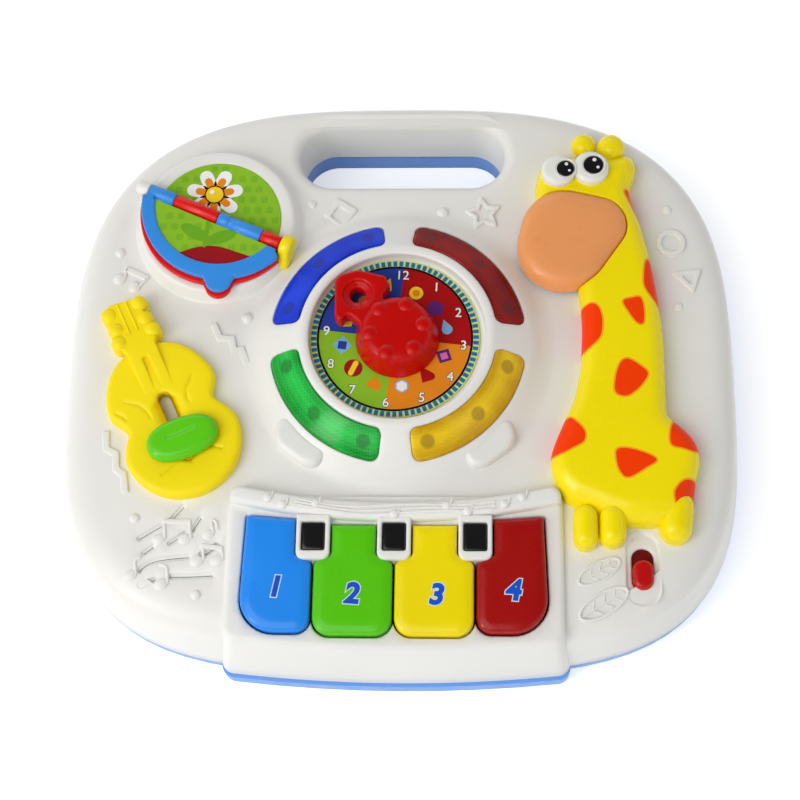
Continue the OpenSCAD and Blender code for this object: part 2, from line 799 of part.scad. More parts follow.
// Half a ring with a straight bar beside the hinge, on one side of the plane through the hinge
module page_frame(lift, knuckles, others, grow) {
  bar_y = -knuckle_r - knuckle_clear;
  difference() {
    translate([0, 0, hinge_z + lift]) linear_extrude(page_t) difference() {
      union() {
        intersection() {
          circle(page_r + grow, $fn = 96);
          translate([-page_r - 2, -page_r - 2]) square([page_r + 2 + page_end, page_r + 2]);
        }
        rotate(tab_angle - hinge_turn) translate([page_r + grow, 0]) circle(tab_r);
      }
      intersection() {
        circle(page_r - page_rim, $fn = 96);
        translate([-page_r, -page_r]) square([2 * page_r, page_r + bar_y - 2.5]);
      }
    }
    hinge_clear(others);
    hinge_slots(knuckles);
    hinge_bore();
  }
  difference() {
    for (k = knuckles) translate([k[0], 0, hinge_z]) rotate([0, 90, 0])
      cylinder(r = knuckle_r, h = k[1] - k[0]);
    hinge_bore();
  }
}

// Room round the hinge for the knuckles of the other page
module hinge_clear(spans) {
  for (k = spans) translate([k[0] - play, -knuckle_r - knuckle_clear, hinge_z - 5])
    cube([k[1] - k[0] + 2 * play, 20, 10]);
}

// Where a page's own knuckles join it
module hinge_slots(spans) {
  for (k = spans) translate([k[0], 0, hinge_z]) rotate([0, 90, 0])
    cylinder(r = knuckle_r - 0.5, h = k[1] - k[0]);
}

module hinge_bore() {
  translate([-page_r - over, 0, hinge_z]) rotate([0, 90, 0])
    cylinder(r = rod_r + fit, h = 2 * page_r + 2 * over);
}

// A printed card held in the frame
module page_card(lift) {
  card_t = 1;
  translate([0, 0, hinge_z + lift + (page_t - card_t) / 2]) linear_extrude(card_t) intersection() {
    circle(page_r - page_rim - seat, $fn = 96);
    translate([-page_r, -page_r]) square([2 * page_r, page_r - knuckle_r - knuckle_clear - 2.5 - seat]);
  }
}

red_grow = 1;          // how far the red page reaches past the blue one
module page_blue_frame() { color(blue) at_book() page_frame(page_gap, blue_knuckles, red_knuckles, 0); }
module page_blue_card() { color([0.45, 0.7, 0.2]) at_book() page_card(page_gap); }
module page_red_frame() {
  color(red) at_book() page_frame(-page_gap - page_t, red_knuckles, blue_knuckles, red_grow);
}
module page_red_card() { color([0.45, 0.7, 0.2]) at_book() page_card(-page_gap - page_t); }

// ---- Guitar ----
guitar_x = guitar_side - half_w;
guitar_z = deck_h + guitar_h;
head_end = 90;
neck_rise = 3;
peg_r = 4.6;
peg_rows = [65.3, 74.3, 83.3];
slider_rest = 0.7;     // where the slider rests, up the strings from the lower bout's middle
shank_r = slot_r - 0.3;
slider_z = guitar_z + 1.7;
slider_h = 6;

// Children have +X up the neck
module at_guitar() {
  translate([guitar_x, guitar_y, 0]) rotate(guitar_turn) children();
}

module guitar_body() {
  body_end = bout_gap + shoulder_bout_r;
  color(yellow) at_guitar() difference() {
    union() {
      translate([0, 0, deck_h + fit]) cylinder(r = bout_r, h = guitar_h - 2.5, $fn = 96);
      translate([0, 0, guitar_z - 2.5]) cylinder(r1 = bout_r, r2 = bout_r - 3, h = 2.5, $fn = 96);
      translate([bout_gap, 0, deck_h + fit]) cylinder(r = shoulder_bout_r, h = guitar_h - 2.5, $fn = 96);
      translate([bout_gap, 0, guitar_z - 2.5])
        cylinder(r1 = shoulder_bout_r, r2 = shoulder_bout_r - 3, h = 2.5, $fn = 96);
      translate([0, neck_w / 2, 0]) rotate([90, 0, 0]) linear_extrude(neck_w)
        polygon([[slot_up - 1, guitar_z - 1], [slot_up, guitar_z], [body_end, guitar_z + neck_rise],
          [head_end, guitar_z + neck_rise], [head_end, deck_h + fit], [slot_up - 1, deck_h + fit]]);
      for (x = peg_rows, s = [-1, 1]) translate([x, s * (neck_w / 2 + 1), deck_h + fit]) {
        cylinder(r = peg_r, h = guitar_h + neck_rise - peg_r);
        translate([0, 0, guitar_h + neck_rise - peg_r]) sphere(peg_r);
      }
    }
    translate([-slot_down + slot_r, 0, deck_h - over]) strings_slot();
    translate([slot_up - over, -2, guitar_z - 0.5]) cube([23, 4, 5]);
  }
}

// Slot for the slider's shank
module strings_slot() {
  run = slot_up + slot_down - 2 * slot_r;
  translate([0, -slot_r, 0]) cube([run, 2 * slot_r, 20]);
  for (x = [0, run]) translate([x, 0, 0]) cylinder(r = slot_r, h = 20);
}

module guitar_slider() {
  crown_r = 60;
  color(green) at_guitar() translate([slider_rest, 0, 0]) difference() {
    union() {
      intersection() {
        translate([0, 0, slider_z]) linear_extrude(slider_h) rotate(90) stadium(slider_l, slider_w);
        translate([0, 0, slider_z + slider_h - crown_r]) sphere(crown_r, $fn = 96);
      }
      translate([0, 0, under_deck - 3]) cylinder(r = shank_r, h = slider_z - under_deck + 4);
    }
    translate([0, 0, under_deck - 3]) pilot(small_screw_l + over);
  }
}

// Washer-like clip that keeps the slider in its slot
clip_t = 2;
module slider_clip() {
  color(white) at_guitar() translate([slider_rest, 0, under_deck - play - clip_t]) difference() {
    cylinder(r = slot_r + 4, h = clip_t);
    translate([0, 0, -over]) cylinder(r = shank_r + fit, h = clip_t + 2 * over);
  }
}

module slider_screw() {
  color(steel) at_guitar() translate([slider_rest, 0, under_deck - 3 - fit]) small_screw();
}

// Contact strip under the slider, hung from two posts of the deck
strip = [66, 16];
strip_drop = 11;
strip_mid = (slot_up - slot_down) / 2;
module at_strip_posts() {
  at_guitar() for (s = [-1, 1]) translate([strip_mid + s * (strip[0] / 2 - 4), 0, under_deck - strip_drop])
    children();
}

module slider_board() {
  color(board_green) difference() {
    at_guitar() translate([strip_mid - strip[0] / 2, -strip[1] / 2, under_deck - strip_drop - board_t - fit])
      cube([strip[0], strip[1], board_t]);
    at_strip_posts() translate([0, 0, -board_t - over])
      cylinder(r = screw_r + screw_clear, h = board_t + 2 * over);
  }
}

// ---- Giraffe ----
// Places are measured from the giraffe's middle line and from the origin
giraffe_x = half_w - giraffe_side;
giraffe_z = deck_h + giraffe_h;
// Depth below the top and inset, for each ring of the body's rounded edge
puff_rings = [[11, 0], [6, 1], [2.6, 4], [0.7, 8], [0, 12]];
// Middle and radius of each round corner: x, y, radius
neck_corners = [[-8, 36, 13], [3, 88, 15], [-6, -6, 13], [12, 40, 12.5], [11, -16, 13], [-10, -24, 13]];
body_corners = [[-20.5, -58, 14.5], [24, -57, 15], [-12, -71, 15], [20, -72, 15], [8, -40, 16]];
head_corners = [[-30, 101, 11], [-22, 105, 13], [-8, 104, 13], [-14, 90, 13]];
snout_lobes = [[-28.5, 66, 24.4], [-10, 80.5, 16.2], [-26, 76.5, 22]];
legs = [[-19.2, -96, 6.4], [-5.6, -94.6, 6.6], [26.6, -90.6, 8.6]];
horns = [[-16.7, 126, 6.9], [-1.2, 125.6, 7.6]];
eyes = [[-31.5, 109], [-13.5, 109.5]];
snout_gap = 0.5;
snout_z = deck_h + snout_travel + play + 0.3;
snout_mid = [-22, 70];
plunger_r = 4;
plunger_l = 10;

module at_giraffe() {
  translate([giraffe_x, 0, 0]) children();
}

module puffed(corners, raise) {
  hull() for (p = puff_rings, c = corners) translate([c[0], c[1], giraffe_z + raise - p[0] - eps])
    cylinder(r = c[2] - p[1], h = eps, $fn = 32);
}

// A round bar with one rounded end, along Z
module leg(r) {
  rotate_extrude() intersection() {
    union() {
      circle(r);
      square([r, 22]);
    }
    translate([0, -r]) square([r, r + 22]);
  }
}

module snout_plan(grow) {
  hull() for (l = snout_lobes) translate([l[0], l[1]]) circle(l[2] + grow, $fn = 48);
}

module giraffe_body() {
  color(yellow) at_giraffe() difference() {
    union() {
      puffed(neck_corners, 0);
      puffed(body_corners, 0.2);
      puffed(head_corners, -0.5);
      for (l = legs)
        translate([l[0], l[1], deck_h + l[2] / 2]) rotate([-90, 0, 0]) leg(l[2]);
      for (h = horns) translate([h[0], h[1] - 14, deck_h + 8]) rotate([-90, 0, 0]) {
        cylinder(r = 4, h = 14);
        translate([0, 0, 14]) sphere(h[2]);
      }
      translate([4, 105, deck_h + fit]) rotate(-50) translate([-6, 0, 0]) cube([12, 10, 9]);
    }
    translate([-70, -120, deck_h - 20 + fit]) cube([140, 280, 20]);
    translate([0, 0, deck_h]) linear_extrude(40) snout_plan(snout_gap);
    for (e = eyes) translate([e[0], e[1], giraffe_z]) cylinder(r = eye_r - 1, h = 20);
    translate([-13, -64, deck_h - over]) cube([30, 26, giraffe_h - 3 + over]);
    translate([-6, -30, deck_h - over]) cube([16, 66, giraffe_h - 3 + over]);
  }
}

module giraffe_eyes() {
  color(white) at_giraffe() difference() {
    for (e = eyes) {
      translate([e[0], e[1], giraffe_z + fit]) cylinder(r = eye_r - 1 - seat, h = 3);
      translate([e[0], e[1], giraffe_z + 2.6]) intersection() {
        sphere(eye_r - 1 - seat);
        cylinder(r = eye_r, h = 6.5);
      }
    }
    translate([0, 0, deck_h]) linear_extrude(40) snout_plan(snout_gap);
  }
}

module giraffe_snout() {
  room_h = deck_h + snout_h - snout_skin - snout_z + over;
  color([0.9, 0.62, 0.42]) at_giraffe() {
    difference() {
      snout_form();
      translate([0, 0, snout_z - over]) {
        translate([-27, 68, 0]) cylinder(r = 17, h = room_h);
        translate([-11, 80, 0]) cylinder(r = 10, h = room_h);
      }
    }
    translate([snout_mid[0], snout_mid[1], under_deck - plunger_l])
      cylinder(r = plunger_r, h = plunger_l + wall + snout_h - snout_skin + 1);
  }
}

snout_skin = 4;
module snout_form() {
  top = deck_h + snout_h;
  hull() {
    translate([0, 0, snout_z]) linear_extrude(eps) snout_plan(-1);
    translate([0, 0, top - 10]) linear_extrude(eps) snout_plan(0);
    translate([0, 0, top - 4]) linear_extrude(eps) snout_plan(-2);
    translate([0, 0, top - 1]) linear_extrude(eps) snout_plan(-6);
    translate([0, 0, top - eps]) linear_extrude(eps) snout_plan(-11);
  }
}

guide_l = 4;           // length of the snout's guide sleeve under the deck
module at_snout() {
  translate([giraffe_x + snout_mid[0], snout_mid[1], 0]) children();
}

// Clip round the plunger, under its guide sleeve
module snout_clip() {
  color("black") at_snout() translate([0, 0, under_deck - guide_l - play - 1.5]) difference() {
    cylinder(r = plunger_r + 2.5, h = 1.5);
    translate([0, 0, -over]) cylinder(r = plunger_r + fit, h = 1.5 + 2 * over);
  }
}

snout_board_size = [36, 18];
snout_board_z = under_deck - plunger_l - snout_travel - 6;
module at_snout_posts() {
  at_snout() for (s = [-1, 1]) translate([s * (snout_board_size[0] / 2 - 4), 0, 0]) children();
}

module snout_board() {
  color(board_green) difference() {
    at_snout() translate([-snout_board_size[0] / 2, -snout_board_size[1] / 2, snout_board_z])
      cube([snout_board_size[0], snout_board_size[1], board_t]);
    at_snout_posts() translate([0, 0, snout_board_z - over])
      cylinder(r = screw_r + screw_clear, h = board_t + 2 * over);
  }
}

// Rubber dome, drawn as it is when the snout is held down
module rubber_dome(r, h) {
  cylinder(r1 = r, r2 = r - 1.5, h = h * 0.6);
  cylinder(r = r - 2, h = h);
}

module snout_pad() {
  color("dimgray") at_snout() translate([0, 0, snout_board_z + board_t + fit])
    rubber_dome(6, under_deck - plunger_l - snout_travel - play - snout_board_z - board_t - fit);
}

// ---- Piano ----
bar_rear = -79;        // rear edge of the bar, in its middle
bar_front = -89;       // front edge of the bar, in its middle
bar_curve = 10;        // how far the bar's ends lie behind its middle
bar_half = bay_half_w - bay_taper - 1;
bar_steps = 12;
key_front = bay_front - bay_step - bay_lean - bay_edge - 4.5;
key_half = (key_pitch - key_gap) / 2;
well_gap = 0.9;        // gap between the keys and the casing round them
tongue_half = 8.7;
tongue_front = 21;     // how far the white tongues reach past the bar
key_in_half = key_pitch / 2 - tongue_half - well_gap + 0.1;
outer_w = 37;          // width of an outer key
pivot_y = bar_rear - 5.5;
pivot_z = deck_h - 3;
barrel_r = 3.4;
rib_t = 3;
key_top = deck_h + key_h;
arm_half = 7;
plunger_y = -127;
lug_t = 2.4;
outer_x = key_pitch + key_gap / 2 + outer_w;

function bar_y(x, front) = (front ? bar_front : bar_rear) + bar_curve * pow(x / bar_half, 2);
function arc_points(c, r, a0, a1, n) = [for (i = [0:n]) let (a = a0 + (a1 - a0) * i / n)
  [c[0] + r * cos(a), c[1] + r * sin(a)]];

module bar_plan(gap) {
  x_end = bar_half - gap;
  polygon(concat(
    [for (i = [0:bar_steps]) let (x = x_end * (2 * i / bar_steps - 1)) [x, bar_y(x, true) + gap]],
    [for (i = [bar_steps:-1:0]) let (x = x_end * (2 * i / bar_steps - 1)) [x, bar_y(x, false) - gap]]));
}

// White tongues that run between the keys and frame the black inserts, grown by a gap
module tongues(gap) {
  corner = 3.6;
  back = bar_front - tongue_front + corner;
  for (i = [-1:1]) translate([i * key_pitch, 0]) {
    translate([-tongue_half - gap, back]) square([2 * (tongue_half + gap), tongue_front]);
    translate([-tongue_half + corner, back - corner - gap])
      square([2 * (tongue_half - corner), corner + gap + 1]);
    for (s = [-1, 1]) translate([s * (tongue_half - corner), back]) circle(corner + gap);
  }
}

// Outline of a key, grown by a gap; side -1 and 1 are the outer keys, 0 is an inner one
function key_outline(side, grow) =
  side == 0 ? inner_outline(grow)
  : [for (p = outer_outline(grow)) [side * p[0], p[1]]];

function inner_outline(g) = let (w = key_half + g, n = key_in_half + g, f = -key_front - g, r = 9)
  concat([[-n, bar_front - 2 + g], [-n, -106.5 - g], [-w, -111.5 + g]],
    arc_points([-w + r, f + r], r, 180, 270, 6), arc_points([w - r, f + r], r, 270, 360, 6),
    [[w, -111.5 + g], [n, -106.5 - g], [n, bar_front - 2 + g]]);

// The outer key on the right, with its inner side on the left
function outer_outline(g) = let (x0 = key_pitch + key_gap / 2 - g, x1 = outer_x + g,
    n = key_pitch + tongue_half + well_gap - 0.1 - g, f = -key_front + 1.4 - g, r = 8, q = 18)
  concat([[n, bar_front + 1 + g], [n, -106.5 - g], [x0, -111.5 + g]],
    arc_points([x0 + r, f + r], r, 180, 270, 6), arc_points([x1 - q, f + q], q, 270, 360, 8),
    [[x1 - 2.5, bar_front + 3 + g]]);

function key_side(i) = i == 0 ? -1 : i == 3 ? 1 : 0;
function key_x(i) = i == 1 ? -key_pitch / 2 : i == 2 ? key_pitch / 2 : 0;
// Middle of a key's hinge arm
function arm_x(i) = (i - 1.5) * key_pitch + (i == 0 ? 0.5 : i == 3 ? -0.5 : 0);

module key_plan(i, grow) {
  translate([key_x(i), 0]) polygon(key_outline(key_side(i), grow));
}

// A key's own outline, which stays a gap away from the tongues
module key_slab(i, grow) {
  difference() {
    key_plan(i, grow);
    tongues(well_gap - grow);
  }
}

module key(i) {
  difference() {
    union() {
      translate([0, 0, key_top - key_t]) linear_extrude(key_t - 1.5) key_slab(i, 0);
      translate([0, 0, key_top - 1.5]) linear_extrude(1.5) key_slab(i, -1.5);
      translate([arm_x(i) - arm_half, bar_front - 6, pivot_z - 2])
        cube([2 * arm_half, pivot_y - bar_front + 6, 4]);
      translate([arm_x(i) - arm_half, pivot_y, pivot_z]) rotate([0, 90, 0])
        cylinder(r = barrel_r, h = 2 * arm_half);
      key_lug(i);
    }
    translate([0, 0, key_top - key_t - over]) linear_extrude(key_t - 2.5 + over) difference() {
      key_slab(i, -2.2);
      translate([arm_x(i) - arm_half - 3, bar_front - 8]) square([2 * arm_half + 6, 12]);
    }
    translate([arm_x(i) - arm_half - over, pivot_y, pivot_z]) rotate([0, 90, 0])
      cylinder(r = axle_r + fit, h = 2 * arm_half + 2 * over);
  }
  translate([arm_x(i), plunger_y, key_top - key_t]) cylinder(r = 3, h = key_t - 1.5);
}

// Lug that stops the key under the shelf: in front of an inner key, beside an outer one
module key_lug(i) {
  side = key_side(i);
  reach = 0.9 + well_gap;
  translate([0, 0, shelf_z - wall - 2 * play - lug_t]) {
    if (side == 0) translate([arm_x(i) - 5, -key_front - reach, 0]) cube([10, reach + 1.5, lug_t]);
    if (side != 0) translate([side * (outer_x + reach / 2 - 0.75) - reach / 2 - 0.75, plunger_y, 0])
      cube([reach + 1.5, 10, lug_t]);
  }
}

module key_1() { color(blue) key(0); }
module key_2() { color(green) key(1); }
module key_3() { color(yellow) key(2); }
module key_4() { color(red) key(3); }

axle_half = 2 * key_pitch - 1;

module key_axle() {
  color(steel) translate([-axle_half, pivot_y, pivot_z]) rotate([0, 90, 0])
    cylinder(r = axle_r, h = 2 * axle_half);
}

// Ribs under the bar that hold the axle
module axle_ribs() {
  for (x = [-2 * key_pitch + 3, -key_pitch, 0, key_pitch, 2 * key_pitch - 3])
    translate([x - rib_t / 2, pivot_y - 4, pivot_z - 5]) cube([rib_t, 8, bar_h + 6]);
}

insert_w = 12.6;
insert_l = 15.5;
insert_y = bar_front - 8.6;
insert_z = deck_h + bar_h - 5;
insert_h = 3.2;
flange_h = 1.2;
flange_out = 1.5;      // how far an insert's flange reaches under the casing, front and rear

module black_keys() {
  color([0.08, 0.08, 0.08]) for (i = [-1:1]) translate([i * key_pitch, insert_y, insert_z]) {
    translate([-insert_w / 2, -insert_l / 2, -flange_h]) cube([insert_w, insert_l, insert_h + flange_h]);
    translate([-insert_w / 2, -insert_l / 2 - flange_out, -flange_h])
      cube([insert_w, insert_l + 2 * flange_out, flange_h]);
  }
}

module insert_cuts() {
  for (i = [-1:1]) translate([i * key_pitch - insert_w / 2 - seat, insert_y - insert_l / 2 - seat, 0]) {
    translate([0, 0, deck_h]) cube([insert_w + 2 * seat, insert_l + 2 * seat, 20]);
    translate([0, -flange_out, deck_h - 2 * wall])
      cube([insert_w + 2 * seat, insert_l + 2 * (flange_out + seat), insert_z - deck_h + 2 * wall]);
  }
}

module key_board_plate() {
  plain_board(key_board, key_board_y, key_board_z);
}

module key_pads() {
  top = key_top - key_t - tan(key_angle) * (pivot_y - plunger_y) - play - 0.3;
  color("dimgray") for (i = [0:3]) translate([arm_x(i), plunger_y, key_board_z + board_t + fit])
    rubber_dome(6.5, top - key_board_z - board_t - fit);
}

// ---- Power switch ----
switch_x = half_w - switch_side;
recess_depth = 1.5;
recess_l = window_l + 13;
recess_w = window_w + 3;
window_pad = 4;        // thickness of the deck round the switch
slide_knob_l = 16;
slide_cover = 0.5;     // how far the slide's flange covers past the window's ends
flange_l = window_l + switch_travel + 2 * slide_cover;
slide_y = switch_y - (window_l - slide_knob_l) / 2 + play;
pad_z = deck_h - window_pad;

module at_switch() {
  translate([switch_x, switch_y, 0]) children();
}

module upright_stadium(length, width, h) {
  linear_extrude(h) rotate(90) stadium(length, width);
}

module power_slide() {
  color(red) translate([switch_x, slide_y, 0]) {
    translate([0, 0, pad_z - play - 1.5])
      upright_stadium(slide_knob_l, window_w - 2 * play, window_pad + 4.5);
    translate([0, switch_y - switch_travel / 2 - slide_y, pad_z - play - 1.5])
      upright_stadium(flange_l, window_w + 2, 1.5);
    translate([-1.5, -1.5, pad_z - play - 4]) cube([3, 3, 3]);
  }
}

// The electrical slide switch hangs from two posts of the deck by its ears
switch_body = [13, 20, 8];
switch_ear = 29;
switch_z = pad_z - 6.5;
module at_switch_posts() {
  at_switch() for (s = [-1, 1]) translate([s * (switch_ear / 2 - post_r), 0, 0]) children();
}

module power_switch() {
  color("dimgray") difference() {
    union() {
      at_switch() translate([-switch_body[0] / 2, -switch_body[1] / 2, switch_z - switch_body[2]])
        cube(switch_body);
      at_switch() translate([-switch_ear / 2, -4, switch_z - ear_t]) cube([switch_ear, 8, ear_t]);
    }
    at_switch_posts() translate([0, 0, switch_z - ear_t - over])
      cylinder(r = screw_r + screw_clear, h = ear_t + 2 * over);
    translate([switch_x - 2, slide_y - 2 - over, switch_z - ear_t]) cube([4, switch_travel + 5, 3]);
  }
}

// ---- Speaker ----
speaker_x = 71 - half_w;
speaker_y = -97;
speaker_ring = 3.5;    // height of the ring that the speaker lies against
magnet_r = 11;
magnet_room = 4.35;    // gap between the magnet and the leg socket under it
speaker_z = under_deck - speaker_ring - seat;
speaker_d = speaker_z - socket_depth - wall - magnet_room;

module at_speaker() {
  translate([speaker_x, speaker_y, 0]) children();
}

module at_speaker_posts() {
  at_speaker() for (a = [60, 180, 300]) rotate(a) translate([speaker_r + 3.2, 0, 0]) children();
}

module speaker() {
  color("dimgray") difference() {
    union() {
      at_speaker() translate([0, 0, speaker_z]) rotate_extrude()
        polygon([[0, -speaker_d], [magnet_r, -speaker_d], [magnet_r, -speaker_d * 4 / 7],
          [magnet_r + 3, -speaker_d * 4 / 7], [speaker_r - 3, -speaker_d / 7], [speaker_r, -speaker_d / 7],
          [speaker_r, 0], [speaker_r - 3, 0], [8, -speaker_d * 5 / 14], [0, -speaker_d / 4]]);
      at_speaker_posts() translate([0, 0, speaker_z - ear_t]) cylinder(r = 3.4, h = ear_t);
      at_speaker_posts() translate([-6, -3, speaker_z - ear_t]) cube([5, 6, ear_t]);
    }
    at_speaker_posts() translate([0, 0, speaker_z - ear_t - over])
      cylinder(r = screw_r + screw_clear, h = ear_t + 2 * over);
  }
}

// Sound slots: x, y, length, direction
speaker_slots = [[-11, 11, 13, 30], [0, 13, 9, 42], [10, 6, 9, 52], [-1, -1, 10, 34], [-13, -4, 8, 30],
  [14, -10, 8, 40], [3, -14, 10, 24], [-8, -17, 9, 30]];

module speaker_slot_cuts() {
  at_speaker() for (s = speaker_slots) translate([s[0], s[1], under_deck - over]) rotate(s[3])
    linear_extrude(wall + 2 * over) stadium(s[2], 3);
}

// ---- Top casing ----
// Rings, dots, bolts and leaves that stand on the deck
relief_h = 1;
dots = [[-50, 97], [23, 92], [145, 94], [149, 36], [-154, 67], [-83, 28]];

function star(r) = [for (i = [0:9]) let (a = 90 + 36 * i, q = i % 2 == 0 ? r : 0.48 * r)
  [q * cos(a), q * sin(a)]];
function triangle(r) = [for (i = [0:2]) let (a = 80 + 120 * i) [r * cos(a), r * sin(a)]];
function bolt(l) = [[-l, 0.25 * l], [-0.1 * l, 0.5 * l], [0.05 * l, 0.1 * l], [l, -0.25 * l],
  [0.1 * l, -0.5 * l], [-0.05 * l, -0.1 * l]];

module leaf(l) {
  intersection() {
    translate([0, -0.75 * l]) circle(l);
    translate([0, 0.75 * l]) circle(l);
  }
}

module reliefs() {
  translate([0, 0, deck_h - over]) linear_extrude(relief_h + over) {
    translate([-33.5, 91]) rotate(30) difference() {
      square(14, center = true);
      square(8, center = true);
    }
    translate([46, 93]) difference() {
      polygon(star(9));
      polygon(star(6));
    }
    translate([147, 74]) difference() {
      circle(7.6);
      circle(5);
    }
    translate([155.5, 55]) difference() {
      polygon(triangle(9));
      polygon(triangle(5));
    }
    translate([-92, 12]) rotate(-40) polygon(bolt(13));
    translate([-149, -66]) rotate(-60) polygon(bolt(13));
    translate([104, -114]) rotate(28) leaf(13);
    translate([103, -131]) rotate(30) leaf(13);
    for (p = dots) translate(p) circle(2.4);
  }
}

// Pieces that hang from the deck inside the casing, kept when the casing is hollowed
module hung_posts() {
  at_case_posts() translate([0, 0, case_seat + wall + seat])
    cylinder(r = case_post_r, h = deck_h - case_seat - 2 * wall);
  at_spokes() translate([0, 0, lamp_board_z + board_t + fit]) cylinder(r = post_r, h = 12);
  at_dial() translate([0, 0, sleeve_z]) cylinder(r = sleeve_r, h = sleeve_l + over);
  at_strip_posts() cylinder(r = post_r, h = strip_drop + over);
  at_snout_posts() translate([0, 0, snout_board_z + board_t + fit])
    cylinder(r = post_r, h = under_deck - snout_board_z - board_t);
  at_snout() translate([0, 0, under_deck - guide_l]) cylinder(r = plunger_r + 2.5, h = guide_l + over);
  at_speaker() translate([0, 0, under_deck - speaker_ring]) difference() {
    cylinder(r = speaker_r, h = speaker_ring + over);
    translate([0, 0, -over]) cylinder(r = speaker_r - 2, h = speaker_ring + 3 * over);
  }
  at_speaker_posts() translate([0, 0, under_deck - speaker_ring])
    cylinder(r = post_r, h = speaker_ring + over);
  at_switch() translate([-recess_w / 2 - 3, -recess_l / 2 - 3, pad_z])
    cube([recess_w + 6, recess_l + 6, window_pad]);
  at_switch_posts() translate([0, 0, switch_z + fit]) cylinder(r = post_r, h = deck_h - switch_z - over);
  handle_place() translate([0, 0, base_h - 2 * over])
    linear_extrude(deck_h - base_h + over) stadium(handle_l + 2 * wall, handle_d + 2 * wall);
  handle_place() translate([0, 0, deck_h - handle_well])
    linear_extrude(handle_well - over) stadium(handle_l + 2 * handle_well, handle_d + 2 * handle_well);
}

module top_casing() {
  color(white) difference() {
    union() {
      top_form();
      bay_form(0, base_h, shelf_z);
      dome_form();
      book_form();
      reliefs();
      translate([0, 0, deck_h - over]) linear_extrude(bar_h - 1 + over) bar_plan(0);
      translate([0, 0, deck_h + bar_h - 1]) linear_extrude(1) bar_plan(-1);
      translate([0, 0, deck_h]) linear_extrude(bar_h - 0.5) tongues(0);
    }
    difference() {
      union() {
        top_hollow();
        dome_hollow();
        bay_hollow();
      }
      hung_posts();
      axle_ribs();
    }
    lens_windows();
    book_cuts();
    key_wells();
    insert_cuts();
    at_dial() translate([0, 0, dial_z - 10]) cylinder(r = shaft_r + fit, h = 20);
    handle_place() translate([0, 0, base_h - 3 * over]) linear_extrude(deck_h) stadium(handle_l, handle_d);
    handle_place() translate([0, 0, deck_h]) handle_rim_cut();
    at_guitar() translate([-slot_down + slot_r, 0, under_deck - over]) strings_slot();
    at_snout() translate([0, 0, under_deck - guide_l - over])
      cylinder(r = plunger_r + fit, h = wall + guide_l + 2 * over);
    at_switch() translate([0, 0, deck_h - recess_depth]) upright_stadium(recess_l, recess_w, 5);
    at_switch() translate([0, 0, pad_z - over]) upright_stadium(window_l, window_w, 20);
    at_switch() translate([0, 0, pad_z - 3])
      upright_stadium(flange_l + switch_travel + 2 * play, window_w + 2 + 2 * play, 3);
    speaker_slot_cuts();
    pilot_holes();
  }
}

module pilot_holes() {
  at_case_posts() translate([0, 0, case_seat]) cylinder(r = case_screw_r + fit, h = case_screw_l + 2);
  at_spokes() translate([0, 0, lamp_board_z + board_t]) pilot(small_screw_l);
  at_strip_posts() pilot(small_screw_l);
  at_snout_posts() translate([0, 0, snout_board_z + board_t]) pilot(small_screw_l);
  at_speaker_posts() translate([0, 0, speaker_z]) pilot(small_screw_l - 1.5);
  at_switch_posts() translate([0, 0, switch_z]) pilot(small_screw_l);
  translate([-axle_half - over / 2, pivot_y, pivot_z]) rotate([0, 90, 0])
    cylinder(r = axle_r + fit, h = 2 * axle_half + over);
}

module bay_hollow() {
  bay_form(wall, base_h - over, shelf_z - wall);
  translate([0, 0, deck_h - 2 * wall]) linear_extrude(bar_h + wall) bar_hollow(2);
  translate([0, 0, deck_h - 2 * wall]) linear_extrude(arm_room) bar_hollow(-2);
}

// Plan of the room inside the bar; a negative front wall leaves it open to the keys
arm_room = 7.5;
module bar_hollow(front_wall) {
  intersection() {
    translate([-bar_half + wall, bar_front - 10]) square([2 * (bar_half - wall), 60]);
    translate([0, front_wall]) bar_plan(0);
    translate([0, -2]) bar_plan(0);
  }
}

module key_wells() {
  translate([0, 0, deck_h - 4 * wall]) linear_extrude(4 * wall + 2 * bar_h) for (i = [0:3]) key_plan(i, well_gap);
}

// ---- Screws in the boards ----
module board_screws() {
  color(steel) {
    at_lens_posts() translate([0, 0, lamp_board_z - fit]) small_screw();
    at_spokes() translate([0, 0, lamp_board_z - fit]) small_screw();
    at_strip_posts() translate([0, 0, -board_t - 2 * fit]) small_screw();
    at_snout_posts() translate([0, 0, snout_board_z - fit]) small_screw();
    at_switch_posts() translate([0, 0, switch_z - ear_t - fit]) small_screw();
    at_main_holes() translate([0, 0, main_board_z + board_t + fit]) mirror([0, 0, 1]) small_screw();
    at_key_holes() translate([0, 0, key_board_z + board_t + fit]) mirror([0, 0, 1]) small_screw();
  }
}

module main_board_plate() {
  plain_board(main_board, main_board_y, main_board_z);
}

// Sound chip, capacitors and crystal on the main board
module board_parts() {
  z = main_board_z + board_t + fit;
  color([0.1, 0.1, 0.1]) {
    translate([-10, main_board_y, z]) cylinder(r = 8, h = 2);
    translate([14, main_board_y + 8, z]) cylinder(r = 4, h = 8);
    translate([24, main_board_y + 8, z]) cylinder(r = 3, h = 7);
    translate([14, main_board_y - 12, z]) cube([10, 4, 4]);
  }
}

// ---- Wiring: round leads between the boards, with a ball at each bend ----
wire_r = 0.8;
module lead(points) {
  for (i = [0:len(points) - 2]) {
    d = points[i + 1] - points[i];
    translate(points[i]) rotate([0, acos(d[2] / norm(d)), atan2(d[1], d[0])])
      cylinder(r = wire_r, h = norm(d), $fn = 16);
  }
  if (len(points) > 2) for (i = [1:len(points) - 2]) translate(points[i]) sphere(wire_r + 0.2, $fn = 16);
}

board_top = main_board_z + board_t + wire_r + fit;

// Lead from the main board down to the roof of the battery bay
module battery_lead(x) {
  lead([[x, main_board_y + 20, board_top], [x, bay_y + 6, board_top], [x, bay_y + 6, bay_roof + wall + fit]]);
}

